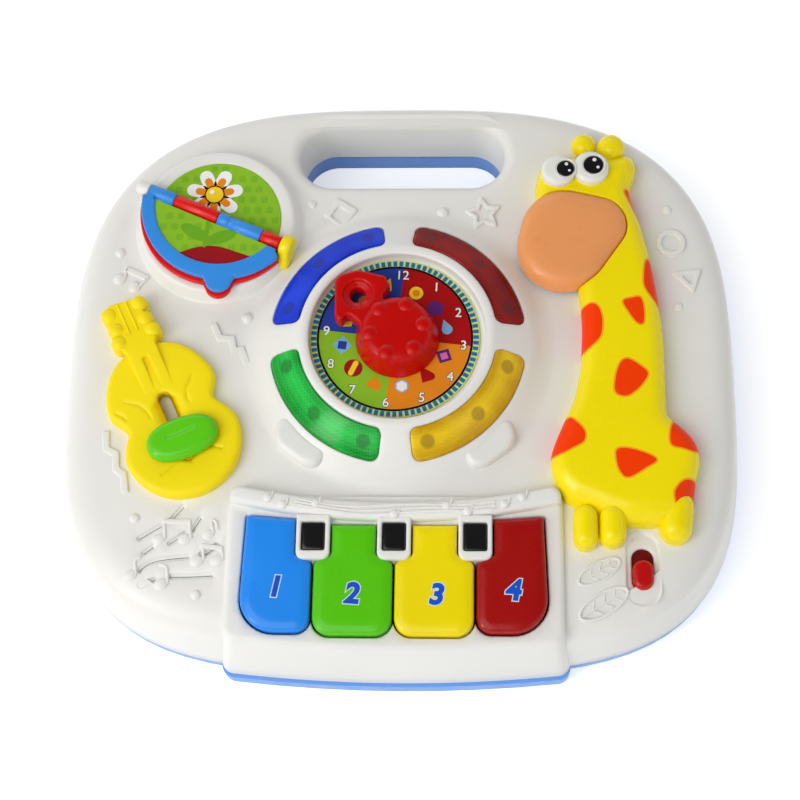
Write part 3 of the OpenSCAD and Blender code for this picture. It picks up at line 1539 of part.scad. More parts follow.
module wiring() {
  color("red") battery_lead(-30);
  color("black") battery_lead(-20);
  for (s = [0, 5]) color("gray") lead([[-42, main_board_y - 8 - s, board_top],
    [speaker_x + magnet_r + wire_r + fit, speaker_y + 4 - s, speaker_z - speaker_d + 3]]);
}

bottom_casing();
top_casing();
battery_door();
door_screw();
battery_cells();
battery_contacts();
casing_screws();
board_screws();
color(board_green) main_board_plate();  // main_board
board_parts();
lamp_board();
lamps();
dial_plate();
lens_blue();
lens_red();
lens_amber();
lens_green();
dial_knob();
dial_wiper();
dial_screw();
book_plate();
hinge_rod();
hinge_bracket();
page_blue_frame();
page_blue_card();
page_red_frame();
page_red_card();
guitar_body();
guitar_slider();
slider_clip();
slider_screw();
slider_board();
giraffe_body();
giraffe_eyes();
giraffe_snout();
snout_clip();
snout_board();
snout_pad();
key_1();
key_2();
key_3();
key_4();
key_axle();
black_keys();
color(board_green) key_board_plate();  // key_board
key_pads();
power_slide();
power_switch();
speaker();
wiring();
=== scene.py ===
import math
import bmesh
import bpy
import numpy as np
from mathutils import Matrix, Vector
from mathutils.geometry import delaunay_2d_cdt


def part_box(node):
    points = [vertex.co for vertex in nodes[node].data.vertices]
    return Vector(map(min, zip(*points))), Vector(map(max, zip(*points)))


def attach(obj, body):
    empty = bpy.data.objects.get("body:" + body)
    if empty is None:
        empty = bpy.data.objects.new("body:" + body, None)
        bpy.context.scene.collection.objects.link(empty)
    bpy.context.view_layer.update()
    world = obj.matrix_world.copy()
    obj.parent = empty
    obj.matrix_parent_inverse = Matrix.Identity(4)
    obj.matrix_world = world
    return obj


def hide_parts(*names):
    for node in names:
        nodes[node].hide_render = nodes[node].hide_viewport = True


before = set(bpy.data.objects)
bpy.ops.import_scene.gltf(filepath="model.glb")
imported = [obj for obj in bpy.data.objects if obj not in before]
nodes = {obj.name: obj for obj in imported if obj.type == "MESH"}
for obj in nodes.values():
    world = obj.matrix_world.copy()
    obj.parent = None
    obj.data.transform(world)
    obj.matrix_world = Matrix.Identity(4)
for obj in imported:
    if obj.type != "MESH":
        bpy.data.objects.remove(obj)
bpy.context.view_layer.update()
mm = 0.001  # shapes below are drawn in millimetres, with the floor at z = 0


# Outlines: closed lists of x, y points

def arc(x, y, r, a0, a1, n):
    a = np.radians(np.linspace(a0, a1, n))
    return np.c_[x + r * np.cos(a), y + r * np.sin(a)]


def circleLoop(x, y, r, n=64):
    return arc(x, y, r, 0, 360, n + 1)[:-1]


def turnLoop(loop, degrees, x=0, y=0):
    a = math.radians(degrees)
    p = np.asarray(loop, float)
    return np.c_[x + p[:, 0] * math.cos(a) - p[:, 1] * math.sin(a),
                 y + p[:, 0] * math.sin(a) + p[:, 1] * math.cos(a)]


def stadiumLoop(x, y, length, width, degrees=0, n=16):
    r, half = width / 2, (length - width) / 2
    return turnLoop(np.r_[arc(half, 0, r, -90, 90, n), arc(-half, 0, r, 90, 270, n)], degrees, x, y)


def evenly(loop, step=1.0, closed=True, count=None):
    p = np.asarray(loop, float)
    if closed:
        p = np.r_[p, p[:1]]
    d = np.r_[0, np.cumsum(np.hypot(*np.diff(p, axis=0).T))]
    n = count or max(3, int(round(d[-1] / step)))
    t = np.linspace(0, d[-1], n + 1)
    t = t[:-1] if closed else t
    return np.c_[np.interp(t, d, p[:, 0]), np.interp(t, d, p[:, 1])]


def smoothLoop(points, step, closed=True):  # Catmull-Rom curve, cut into even steps
    p = np.asarray(points, float)
    n = len(p)
    out = []
    for i in range(n if closed else n - 1):
        pick = (lambda k: p[k % n]) if closed else (lambda k: p[min(max(k, 0), n - 1)])
        a, b, c, d = pick(i - 1), pick(i), pick(i + 1), pick(i + 2)
        for t in np.linspace(0, 1, 12, endpoint=False):
            out.append(0.5 * (2 * b + (c - a) * t + (2 * a - 5 * b + 4 * c - d) * t ** 2
                              + (3 * b - a - 3 * c + d) * t ** 3))
    if not closed:
        out.append(p[-1])
    return evenly(np.array(out), step, closed)


def roundedLoop(corners, n=6):  # corners are x, y, radius
    c = np.asarray(corners, float)
    out = []
    for i in range(len(c)):
        p, a, b = c[i, :2], c[i - 1, :2], c[(i + 1) % len(c), :2]
        u, v = (a - p) / np.linalg.norm(a - p), (b - p) / np.linalg.norm(b - p)
        r = c[i, 2]
        half = math.acos(np.clip(u @ v, -1, 1)) / 2
        if r < 0.01 or half > 1.5:
            out.append(p[None])
            continue
        cut = r / math.tan(half)
        mid = p + (u + v) / np.linalg.norm(u + v) * r / math.sin(half)
        s, e = p + u * cut - mid, p + v * cut - mid
        a0 = math.atan2(s[1], s[0])
        turn = (math.atan2(e[1], e[0]) - a0 + math.pi) % (2 * math.pi) - math.pi
        t = a0 + turn * np.linspace(0, 1, n)
        out.append(np.c_[mid[0] + r * np.cos(t), mid[1] + r * np.sin(t)])
    return np.concatenate(out)


def roundRect(x, y, halfX, halfY, corner, n=6):
    signs = ((-1, -1), (1, -1), (1, 1), (-1, 1))
    return roundedLoop([(x + i * halfX, y + j * halfY, corner) for i, j in signs], n)


def hullLoop(circles):
    pts = np.concatenate([circleLoop(x, y, r, 120) for x, y, r in circles])
    pts = pts[np.lexsort((pts[:, 1], pts[:, 0]))]

    def half(points):
        h = []
        for p in points:
            while len(h) > 1 and np.cross(h[-1] - h[-2], p - h[-2]) <= 0:
                h.pop()
            h.append(p)
        return h[:-1]
    return np.array(half(pts) + half(pts[::-1]))


def strokeLoop(path, half, ends=7):  # outline of a line of even width; its ends are round or, at 0, square
    p = smoothLoop(path, 0.8, closed=False)
    t = np.gradient(p, axis=0)
    t /= np.linalg.norm(t, axis=1)[:, None]
    side = np.c_[-t[:, 1], t[:, 0]] * half
    if not ends:
        return np.r_[p + side, (p - side)[::-1]]
    a, b = (math.degrees(math.atan2(*v[::-1])) for v in (t[0], t[-1]))
    start = arc(*p[0], half, a + 90, a + 270, ends)[1:-1]
    end = arc(*p[-1], half, b - 90, b + 90, ends)[1:-1]
    return np.r_[start, p - side, end, (p + side)[::-1]]


# Measuring points against outlines

def insideLoop(p, loop):
    a, b = loop, np.roll(loop, -1, axis=0)
    hit = np.zeros(len(p), bool)
    for k in range(0, len(p), 4000):
        x, y = p[k:k + 4000, :1], p[k:k + 4000, 1:]
        over = (a[:, 1] > y) != (b[:, 1] > y)
        rise = np.where(b[:, 1] == a[:, 1], 1e-9, b[:, 1] - a[:, 1])
        hit[k:k + 4000] = (over & (x < (b[:, 0] - a[:, 0]) * (y - a[:, 1]) / rise + a[:, 0])).sum(1) % 2 == 1
    return hit


def insideAny(p, loops):
    hit = np.zeros(len(p), bool)
    for loop in loops:
        hit |= insideLoop(p, loop)
    return hit


def edgesOf(outers, holes):  # what bounds the union of the outers less the holes
    found = []
    for kind, loops in ((0, outers), (1, holes)):
        for i, loop in enumerate(loops):
            a, b = loop, np.roll(loop, -1, axis=0)
            mid = (a + b) / 2
            drop = insideAny(mid, [l for j, l in enumerate(loops) if j != i])
            if kind == 1:
                drop |= ~insideAny(mid, outers)
            found.append(np.c_[a, b][~drop])
    return np.concatenate(found)


def distanceTo(p, edges):
    a, ab = edges[:, :2], edges[:, 2:] - edges[:, :2]
    size = (ab ** 2).sum(1) + 1e-12
    out = np.empty(len(p))
    for k in range(0, len(p), 2000):
        q = p[k:k + 2000, None] - a
        t = np.clip((q * ab).sum(2) / size, 0, 1)
        out[k:k + 2000] = np.sqrt((((q - t[..., None] * ab) ** 2).sum(2)).min(1))
    return out


# Forms: (points, faces, ink of each face), before they become objects

def at(loop, z):
    return np.c_[loop, np.full(len(loop), float(z))]


def flatLift(z):
    return lambda p, d, s: at(p, z)


def flatWall(z):  # walls that all end at one height
    return lambda q, p: at(p, z)


def softStep(t):
    t = np.clip(t, 0, 1)
    return t * t * (3 - 2 * t)


fineAngles = (12, 24, 36, 48, 60, 75, 90)


def edgeRows(edge, angles=(18, 36, 54, 72, 90)):  # rows of points that make an edge of this radius round
    return [edge * (1 - math.cos(math.radians(a))) for a in angles]


def rollOff(d, r):  # how far a rounded edge of radius r lies below the top, d from the edge
    t = np.clip(d, 0, r)
    return r - np.sqrt(np.maximum(0, r * r - (r - t) ** 2))


def swell(p, tri, edge):  # how far inside a point is, round over a strip of any width
    n = len(p)
    i, j, w = [], [], []
    area = np.zeros(n)
    for k in range(3):
        a, b, c = tri[:, k], tri[:, (k + 1) % 3], tri[:, (k + 2) % 3]
        u, v = p[a] - p[c], p[b] - p[c]
        cr = np.abs(u[:, 0] * v[:, 1] - u[:, 1] * v[:, 0]) + 1e-9
        i.append(a)
        j.append(b)
        w.append(np.clip((u * v).sum(1) / cr, 0.02, 20) / 2)
        np.add.at(area, a, cr / 6)
    i, j, w = np.concatenate(i), np.concatenate(j), np.concatenate(w)
    diag = np.bincount(i, w, n) + np.bincount(j, w, n)
    free = ~edge

    def apply(x):
        return (diag * x - np.bincount(i, w * x[j], n) - np.bincount(j, w * x[i], n)) * free
    x = np.zeros(n)
    r = area * free
    z = r / diag
    q = z.copy()
    rz = r @ z
    for _ in range(600):
        m = apply(q)
        alpha = rz / (q @ m + 1e-30)
        x += alpha * q
        r -= alpha * m
        z = r / diag
        new = r @ z
        if new < 1e-10:
            break
        q = z + new / rz * q
        rz = new
    return np.sqrt(np.maximum(0, 2 * x))


def skin(outers, lift, step, depths=(), holes=(), inks=(), wallTo=None, soft=False):
    # A surface over a plan. lift gives each plan point its place from the points, their distance to
    # the edge and their swell; depths are rows of points along the edge, inks are outline and finish
    # number, and wallTo gives the feet of the walls.
    outers = [np.asarray(o, float) for o in outers]
    holes = [np.asarray(h, float) for h in holes]
    edges = edgesOf(outers, holes)

    def within(q):
        return insideAny(q, outers) & ~insideAny(q, holes)
    lo, hi = np.concatenate(outers).min(0), np.concatenate(outers).max(0)
    gx, gy = np.arange(lo[0], hi[0], step), np.arange(lo[1], hi[1], step * 0.866)
    grid = np.array([(x + (step / 2 if k % 2 else 0), y)
                     for k, y in enumerate(gy) for x in gx]).reshape(-1, 2)
    grid = grid[within(grid)]
    grid = grid[distanceTo(grid, edges) > (max(depths) if depths else 0) + step * 0.55]
    rows = []
    mid, along = (edges[:, :2] + edges[:, 2:]) / 2, edges[:, 2:] - edges[:, :2]
    side = np.c_[-along[:, 1], along[:, 0]] / (np.hypot(*along.T)[:, None] + 1e-9)
    for d in depths:
        for s in (1, -1):
            q = mid + side * s * d
            q = q[within(q)]
            rows.append(q[distanceTo(q, edges) > 0.96 * d])
    marks = [np.asarray(m, float) for m, _ in inks]
    points, links = [], []
    for loop in outers + holes + marks:
        k = sum(len(q) for q in points)
        points.append(loop)
        links += [(k + i, k + (i + 1) % len(loop)) for i in range(len(loop))]
    if marks and len(grid):
        grid = grid[distanceTo(
            grid, np.concatenate([np.c_[m, np.roll(m, -1, axis=0)] for m in marks])) > step * 0.3]
    plan = np.concatenate(points + rows + [grid])
    made = delaunay_2d_cdt([Vector(q) for q in plan], links, [], 0, 1e-5, False)
    p = np.array([tuple(v) for v in made[0]])
    tri = np.array(made[2], int)
    a, b, c = p[tri[:, 0]], p[tri[:, 1]], p[tri[:, 2]]
    cr = np.cross(b - a, c - a)
    keep = within(p[tri].mean(1)) & (np.abs(cr) > 1e-7)
    tri, cr = tri[keep], cr[keep]
    tri[cr < 0] = tri[cr < 0][:, ::-1]
    used = np.unique(tri)
    again = -np.ones(len(p), int)
    again[used] = np.arange(len(used))
    p, tri = p[used], again[tri]
    pairs = np.concatenate([tri[:, [0, 1]], tri[:, [1, 2]], tri[:, [2, 0]]])
    owner = np.tile(np.arange(len(tri)), 3)
    key = np.sort(pairs, 1) @ np.array([len(p) + 1, 1])
    _, first, count = np.unique(key, return_index=True, return_counts=True)
    rim = first[count == 1]
    onEdge = np.zeros(len(p), bool)
    onEdge[pairs[rim].ravel()] = True
    d = distanceTo(p, edges)
    d[onEdge] = 0
    s = swell(p, tri, onEdge) if soft else d
    top = lift(p, d, s)
    ink = np.zeros(len(tri), int)
    for loop, number in inks:
        ink[insideLoop(p[tri].mean(1), np.asarray(loop, float))] = number
    faces = [tuple(t) for t in tri]
    ink = list(ink)
    if wallTo is not None:
        low = wallTo(top, p)
        rimPoints = np.unique(pairs[rim].ravel())
        lower = {q: len(top) + i for i, q in enumerate(rimPoints)}
        top = np.r_[top, low[rimPoints]]
        for k in rim:
            a, b = pairs[k]
            faces.append((a, lower[a], lower[b], b))
            ink.append(ink[owner[k]])
    return top, faces, ink


def pillow(outers, base, top, edge, step, holes=(), crown=0, crownWidth=12):
    # A moulded pad: straight sides from base, a rounded edge and a slightly crowned top
    def lift(p, d, s):
        z = top - crown - rollOff(d, edge)
        if crown:
            z = z + crown * (1 - (1 - np.clip(s / crownWidth, 0, 1)) ** 2)
        return np.c_[p, z]
    rows = [r for r in edgeRows(edge) if r > 0.02]
    return skin(outers, lift, step, rows, holes, wallTo=flatWall(base), soft=crown > 0)


def lathe(profile, x=0, y=0, steps=96):  # profile is radius, z from the outer foot up and in
    a = np.radians(np.arange(steps) * 360 / steps)
    pts = np.array([(x + r * math.cos(t), y + r * math.sin(t), z) for r, z in profile for t in a])
    faces = []
    for i in range(len(profile) - 1):
        for j in range(steps):
            k = (j + 1) % steps
            f = (i * steps + j, i * steps + k, (i + 1) * steps + k, (i + 1) * steps + j)
            if profile[i][0] < 1e-6:
                f = (f[0], f[2], f[3])
            elif profile[i + 1][0] < 1e-6:
                f = (f[0], f[1], f[2])
            faces.append(f)
    return pts, faces, [0] * len(faces)


def loft(rings):  # rings with equal counts, counter-clockwise, bottom up
    n = len(rings[0])
    pts = np.concatenate([np.asarray(r, float) for r in rings])
    faces = [(i * n + j, i * n + (j + 1) % n, (i + 1) * n + (j + 1) % n, (i + 1) * n + j)
             for i in range(len(rings) - 1) for j in range(n)]
    return pts, faces, [0] * len(faces)


def flipped(form):
    return form[0], [tuple(reversed(f)) for f in form[1]], form[2]


def ball(x, y, z, r, steps=40, squash=1.0):
    a = np.linspace(-90, 90, steps // 2 + 1)
    return lathe([(r * math.cos(math.radians(t)) if abs(t) < 89.9 else 0,
                   z + squash * r * math.sin(math.radians(t))) for t in a], x, y, steps)


def bar(a, b, profile, steps=40):  # profile is radius, distance along the line from a to b
    a, b = np.asarray(a, float), np.asarray(b, float)
    pts, faces, ink = lathe(profile, steps=steps)
    w = Vector(b - a).normalized()
    turn = np.array(w.to_track_quat("Z", "Y").to_matrix())
    return pts @ turn.T + a, faces, ink


def tube(path, r, steps=12):
    p = np.asarray(path, float)
    rings = []
    for i, q in enumerate(p):
        t = p[min(i + 1, len(p) - 1)] - p[max(i - 1, 0)]
        t /= np.linalg.norm(t)
        u = np.cross(t, (0, 0, 1)) if abs(t[2]) < 0.95 else np.cross(t, (1, 0, 0))
        u /= np.linalg.norm(u)
        v = np.cross(t, u)
        a = np.radians(np.arange(steps) * 360 / steps)
        rings.append(q + r * (np.cos(a)[:, None] * u + np.sin(a)[:, None] * v))
    return loft(rings)


def join(*forms):
    pts, faces, ink, n = [], [], [], 0
    for f in forms:
        pts.append(f[0])
        faces += [tuple(i + n for i in t) for t in f[1]]
        ink += list(f[2])
        n += len(f[0])
    return np.concatenate(pts), faces, ink


def inked(form, number):
    return form[0], form[1], [number] * len(form[1])


def piece(name, form, body, finishes, replaces=(), weld=0.0, flat=False):
    pts, faces, ink = form
    mesh = bpy.data.meshes.new(name)
    mesh.from_pydata((np.asarray(pts) * mm).tolist(), [], [tuple(int(i) for i in f) for f in faces])
    for f in finishes:
        mesh.materials.append(f)
    mesh.polygons.foreach_set("material_index", np.array(ink, np.int32))
    mesh.polygons.foreach_set("use_smooth", np.full(len(mesh.polygons), not flat))
    mesh.update()
    if weld:
        bm = bmesh.new()
        bm.from_mesh(mesh)
        bmesh.ops.remove_doubles(bm, verts=bm.verts, dist=weld * mm)
        bm.to_mesh(mesh)
        bm.free()
    obj = bpy.data.objects.new(name, mesh)
    bpy.context.scene.collection.objects.link(obj)
    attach(obj, body)
    if replaces:
        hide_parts(*replaces)


def shellPiece(name, forms, replaces=(), weld=0.0):
    piece(name, join(*forms), "casing", [finish["shell"]], replaces, weld)


def lettering(text, x, y, z, size, turn=0, weight=0.0, lean=0.0):  # flat, its middle at x, y
    curve = bpy.data.curves.new("letters", "FONT")
    curve.body, curve.size, curve.offset, curve.shear = text, size, weight, lean
    curve.align_x, curve.align_y = "CENTER", "CENTER"
    curve.resolution_u = 6
    obj = bpy.data.objects.new("letters", curve)
    bpy.context.scene.collection.objects.link(obj)
    bpy.context.view_layer.update()
    mesh = bpy.data.meshes.new_from_object(obj.evaluated_get(bpy.context.evaluated_depsgraph_get()))
    pts = np.array([tuple(v.co) for v in mesh.vertices])
    faces = [tuple(p.vertices) for p in mesh.polygons]
    bpy.data.objects.remove(obj)
    bpy.data.curves.remove(curve)
    bpy.data.meshes.remove(mesh)
    mid = (pts.min(0) + pts.max(0)) / 2
    q = turnLoop((pts - mid)[:, :2], turn, x, y)
    return np.c_[q, np.full(len(q), float(z))], faces, [0] * len(faces)


print("helpers ready")


# Finishes

def nodeTree(name):
    mat = bpy.data.materials.new(name)
    mat.use_nodes = True
    return mat, mat.node_tree, mat.node_tree.nodes["Principled BSDF"]


def feed(tree, shader, inputs):  # each input is a value or another node's output
    for name, value in inputs.items():
        if isinstance(value, bpy.types.NodeSocket):
            tree.links.new(value, shader.inputs[name])
        else:
            shader.inputs[name].default_value = value


def addNode(tree, kind, inputs):
    made = tree.nodes.new("ShaderNode" + kind)
    feed(tree, made, inputs)
    return made


def noise(tree, place, scale, detail=2):
    inputs = {"Vector": place, "Scale": scale, "Detail": detail}
    return addNode(tree, "TexNoise", inputs).outputs["Fac"]


def between(tree, value, low, high, toLow=0.0, toHigh=1.0, smooth=False):
    made = addNode(tree, "MapRange", {"Value": value, "From Min": low, "From Max": high, "To Min": toLow,
                                      "To Max": toHigh})
    if smooth:
        made.interpolation_type = "SMOOTHSTEP"
    return made.outputs["Result"]


def maths(tree, operation, *values, kind="Math"):
    made = tree.nodes.new("ShaderNode" + kind)
    made.operation = operation
    feed(tree, made, dict(enumerate(values)))
    return made.outputs["Value"]


def measure(tree, operation, *values):
    return maths(tree, operation, *values, kind="VectorMath")


def ramp(tree, value, low, high, start=0.0, end=1.0):
    made = addNode(tree, "ValToRGB", {"Fac": value})
    stops = made.color_ramp.elements
    stops[0].position, stops[1].position = start, end
    stops[0].color, stops[1].color = low, high
    return made.outputs["Color"]


def bump(tree, height, strength, distance, under=None):
    inputs = {"Height": height, "Strength": strength, "Distance": distance}
    if under:
        inputs["Normal"] = under
    return addNode(tree, "Bump", inputs).outputs["Normal"]


def onObject(tree):
    return addNode(tree, "TexCoord", {}).outputs["Object"]


def linear(rgb):
    return tuple((c / 255 / 12.92) if c / 255 <= 0.04045 else ((c / 255 + 0.055) / 1.055) ** 2.4
                 for c in rgb) + (1,)


def scaled(colour, k):
    return tuple(min(1, max(0, v * k)) for v in colour[:3]) + (1,)


def plastic(name, rgb, gloss=0.3, grain=0.35, drift=0.05, coat=0.0, wave=0.25, shine=0.28):
    # Moulded plastic: slow drift of tone, fine pitted grain, faint waviness of the mould, hazy patches
    mat, tree, shader = nodeTree(name)
    place, c = onObject(tree), linear(rgb)
    tone = ramp(tree, noise(tree, place, 14, 3), scaled(c, 1 - drift), scaled(c, 1 + drift * 0.6), 0.3, 0.7)
    rough = between(tree, noise(tree, place, 55, 5), 0.3, 0.7, gloss * 0.85, gloss * 1.2)
    broad = bump(tree, noise(tree, place, 32, 1), wave, 0.0006)
    pitted = bump(tree, noise(tree, place, 1600), grain, 0.00006, broad)
    feed(tree, shader, {"Base Color": tone, "Roughness": rough, "Normal": pitted, "Specular IOR Level": shine,
                        "Coat Weight": coat, "Coat Roughness": 0.12})
    return mat


def printed(name, rgb, drift=0.06):
    # Printed card or film: slight tone drift and a fine print grain under a satin layer
    mat, tree, shader = nodeTree(name)
    place, c = onObject(tree), linear(rgb)
    fine = noise(tree, place, 2600)
    both = maths(tree, "MULTIPLY_ADD", fine, 0.35, noise(tree, place, 60))
    feed(tree, shader, {"Base Color": ramp(tree, both, scaled(c, 1 - drift), scaled(c, 1 + drift), 0.45, 0.9),
                        "Normal": bump(tree, fine, 0.2, 0.00003), "Roughness": 0.38,
                        "Specular IOR Level": 0.12})
    return mat


def metal(name, rgb, gloss):
    mat, tree, shader = nodeTree(name)
    fine, c = noise(tree, onObject(tree), 700, 4), linear(rgb)
    feed(tree, shader, {"Base Color": ramp(tree, fine, scaled(c, 0.8), c), "Metallic": 1,
                        "Roughness": between(tree, fine, 0, 1, gloss * 0.7, gloss * 1.5)})
    return mat


# where the painted highlight band runs across each lens, and where the lamps under it sit
lensHighlightAndLamps = {"ring": (0.0532, 0.0689), "lampRing": 0.0612, "lampHeight": 0.066, "lampTurn": 29,
            "lampEdge": (0.0028, 0.0048)}


def lensPlastic(name, rgb, deep, quadrant, prisms=0.2, highlightBand=0.12):
    # Clear tinted plastic: fine prisms, a painted highlight band brighter along the middle and darker towards
    # the edges, and the lamps as dim spots under it
    mat, tree, shader = nodeTree(name)
    place = onObject(tree)
    centred = addNode(tree, "Mapping", {"Vector": place, "Location": (0, -0.011, 0)}).outputs["Vector"]
    rings = addNode(tree, "TexWave", {"Vector": centred, "Scale": 210, "Distortion": 1.4, "Detail Scale": 90})
    rings.wave_type, rings.rings_direction = "RINGS", "Z"
    cells = addNode(tree, "TexVoronoi", {"Vector": centred, "Scale": 640, "Randomness": 0.1})
    prism = maths(tree, "MULTIPLY_ADD", rings.outputs["Fac"], 0.26, cells.outputs["Distance"])
    faint = maths(tree, "MULTIPLY", prism, prisms)
    body = maths(tree, "MULTIPLY_ADD", noise(tree, place, 46, 4), 1.15, faint)
    flat = addNode(tree, "Mapping", {"Vector": centred, "Scale": (1, 1, 0)}).outputs["Vector"]
    # painted highlight: the colour is lifted in a band along the middle of each lens and falls off to dark
    # towards its edges
    across = between(tree, measure(tree, "LENGTH", flat), *lensHighlightAndLamps["ring"])
    highlightRamp = addNode(tree, "ValToRGB", {"Fac": across})
    highlightRamp.color_ramp.interpolation = "EASE"
    for stopPlace, level in ((0.42, 1), (0.95, 0)):
        stop = highlightRamp.color_ramp.elements.new(stopPlace)
        stop.color = (level, level, level, 1)
    highlightRamp.color_ramp.elements[-1].color = (0, 0, 0, 1)
    bodyAndHighlight = maths(tree, "MULTIPLY_ADD", highlightRamp.outputs["Color"], highlightBand, body)
    middle, reach = 0.575 + 0.44 * prisms + 0.5 * highlightBand, 0.15 + 0.185 * prisms + 0.5 * highlightBand
    colour = ramp(tree, between(tree, bodyAndHighlight, middle - reach, middle + reach), linear(deep), linear(rgb))
    for turn in (-lensHighlightAndLamps["lampTurn"], 0, lensHighlightAndLamps["lampTurn"]):
        a, r = math.radians(45 + 90 * quadrant + turn), lensHighlightAndLamps["lampRing"]
        gap = measure(tree, "DISTANCE", centred, (r * math.cos(a), r * math.sin(a), lensHighlightAndLamps["lampHeight"]))
        spot = tree.nodes.new("ShaderNodeMix")
        spot.data_type = "RGBA"
        feed(tree, spot, {"Factor": between(tree, gap, *lensHighlightAndLamps["lampEdge"], 0.55, 0, smooth=True),
                          "A": colour, "B": tuple(v * 0.4 + 0.02 for v in linear(deep)[:3]) + (1,)})
        colour = spot.outputs["Result"]
    feed(tree, shader, {"Base Color": colour, "Normal": bump(tree, faint, 0.1, 0.0002), "Roughness": 0.16,
                        "Specular IOR Level": 0.14, "Coat Weight": 0.08, "Coat Roughness": 0.05,
                        "Subsurface Weight": 0.25, "Subsurface Radius": (0.003, 0.003, 0.003)})
    return mat


finish = {
    "shell": plastic("shellWhite", (236, 235, 230), gloss=0.34, grain=0.3, drift=0.02, shine=0.5),
    "sky": plastic("baseSky", (106, 160, 236), gloss=0.36),
    "yellow": plastic("sunYellow", (252, 230, 0), gloss=0.26, coat=0.12, drift=0.02, wave=0.12),
    "peach": plastic("snoutPeach", (242, 160, 98), coat=0.1, drift=0.02, wave=0.1),
    "eyeWhite": plastic("eyeWhite", (236, 236, 230), gloss=0.22, coat=0.4, drift=0.02),
    "eyeBlack": plastic("eyeBlack", (16, 12, 12), gloss=0.2, coat=0.5),
    "guitar": plastic("guitarYellow", (252, 226, 2), gloss=0.42, drift=0.04),
    "lime": plastic("sliderLime", (94, 204, 18), gloss=0.24, coat=0.15),
    "knob": plastic("knobRed", (196, 6, 4), gloss=0.28, coat=0.08, wave=0.12, shine=0.18),
    "pageBlue": plastic("pageBlue", (56, 144, 230), coat=0.1, wave=0.12),
    "pageRed": plastic("pageRed", (226, 16, 14), gloss=0.28, coat=0.12, wave=0.12),
    "bracket": plastic("bracketYellow", (250, 228, 4), gloss=0.28, coat=0.12),
    "black": plastic("insertBlack", (14, 12, 12), gloss=0.16, coat=0.6),
    # this dark red is the wiring's own colour and, on the slide's flange, painted shade: the flange is the
    # same red plastic as the knob, darkened where it lies in shade under the window
    "wireRedAndShadedFlange": plastic("wireRedAndShadedFlange", (112, 10, 6), gloss=0.35),
    "switchRed": plastic("switchRed", (190, 10, 6), gloss=0.26, coat=0.15),
    "lensRed": lensPlastic("lensRed", (158, 22, 20), (112, 8, 8), 0),
    "lensBlue": lensPlastic("lensBlue", (30, 72, 226), (14, 42, 186), 1),
    "lensGreen": lensPlastic("lensGreen", (48, 204, 84), (0, 124, 26), 2, 0.6, 0.5),
    "lensAmber": lensPlastic("lensAmber", (248, 212, 40), (190, 138, 0), 3, 0.2, 0.4),
    "cellJacket": plastic("cellJacket", (60, 60, 64)),
    "steel": metal("pinSteel", (196, 198, 202), 0.28),
    "board": plastic("boardGreen", (26, 96, 48), gloss=0.4, drift=0.15),
    "rubber": plastic("domeRubber", (70, 70, 72), gloss=0.6),
    "spot": printed("spotOrange", (254, 62, 0), drift=0.03),
    "spotEdge": printed("spotEdge", (255, 168, 28), drift=0.04)}
keyTones = {"keyBlue": (34, 140, 242), "keyGreen": (88, 200, 8), "keyYellow": (244, 222, 0),
            "keyRed": (162, 8, 4)}
for key, rgb in keyTones.items():
    finish[key] = plastic(key, rgb, gloss=0.25, coat=0.12 if key == "keyRed" else 0.15)
printTones = {"letterBlue": (28, 84, 200), "letterPale": (205, 225, 235), "inkBlue": (42, 66, 160),
              "inkRed": (172, 16, 18), "inkOrange": (232, 138, 30), "inkGreen": (140, 190, 44),
              "inkWhite": (244, 244, 240), "inkBlack": (14, 14, 18), "inkDash": (30, 116, 176),
              "inkDashPale": (214, 222, 96), "inkMaroon": (150, 24, 30), "inkLeaf": (108, 170, 36),
              "inkMoss": (122, 180, 42), "inkYellow": (246, 208, 40), "inkPurple": (96, 40, 120),
              "inkPink": (214, 110, 170), "inkSky": (128, 184, 226)}
for ink, rgb in printTones.items():
    finish[ink] = printed(ink, rgb)
print("finishes ready")


# Casing: one moulded skin from the parting line over the shoulder and the deck, with the dial's dome,
# the book's round seat, the handle's rim, the switch recess and the sound slots

shell = {
    "halfWidth": 185, "rear": 166.5, "front": 158.5, "rearPower": 3, "frontPower": 3.5,
    "parting": 14, "deck": 52, "shoulderStart": 20, "domeFoot": 86, "seatFoot": 47,
    "handle": (0, 128.2, 115, 37.6), "handleRound": 7, "dial": (0, 11), "book": (-101, 83),
    "switch": (128, -112), "recess": (36, 14.5), "window": (23, 11.5), "rimPoints": 300}
deck = shell["deck"]


def rimLoop(inset):
    n = shell["rimPoints"]
    a = np.linspace(0, 2 * np.pi, 4 * n, endpoint=False)
    c, s = np.cos(a), np.sin(a)
    power = np.where(s >= 0, shell["rearPower"], shell["frontPower"])
    depth = np.where(s >= 0, shell["rear"], shell["front"])
    loop = np.c_[(shell["halfWidth"] - inset) * np.sign(c) * np.abs(c) ** (2 / power),
                 (depth - inset) * np.sign(s) * np.abs(s) ** (2 / power)]
    return evenly(loop, count=n)


def bezier(a, b, c, d, t):
    t = np.asarray(t)[:, None]
    a, b, c, d = (np.asarray(q, float) for q in (a, b, c, d))
    return (1 - t) ** 3 * a + 3 * t * (1 - t) ** 2 * b + 3 * t * t * (1 - t) * c + t ** 3 * d


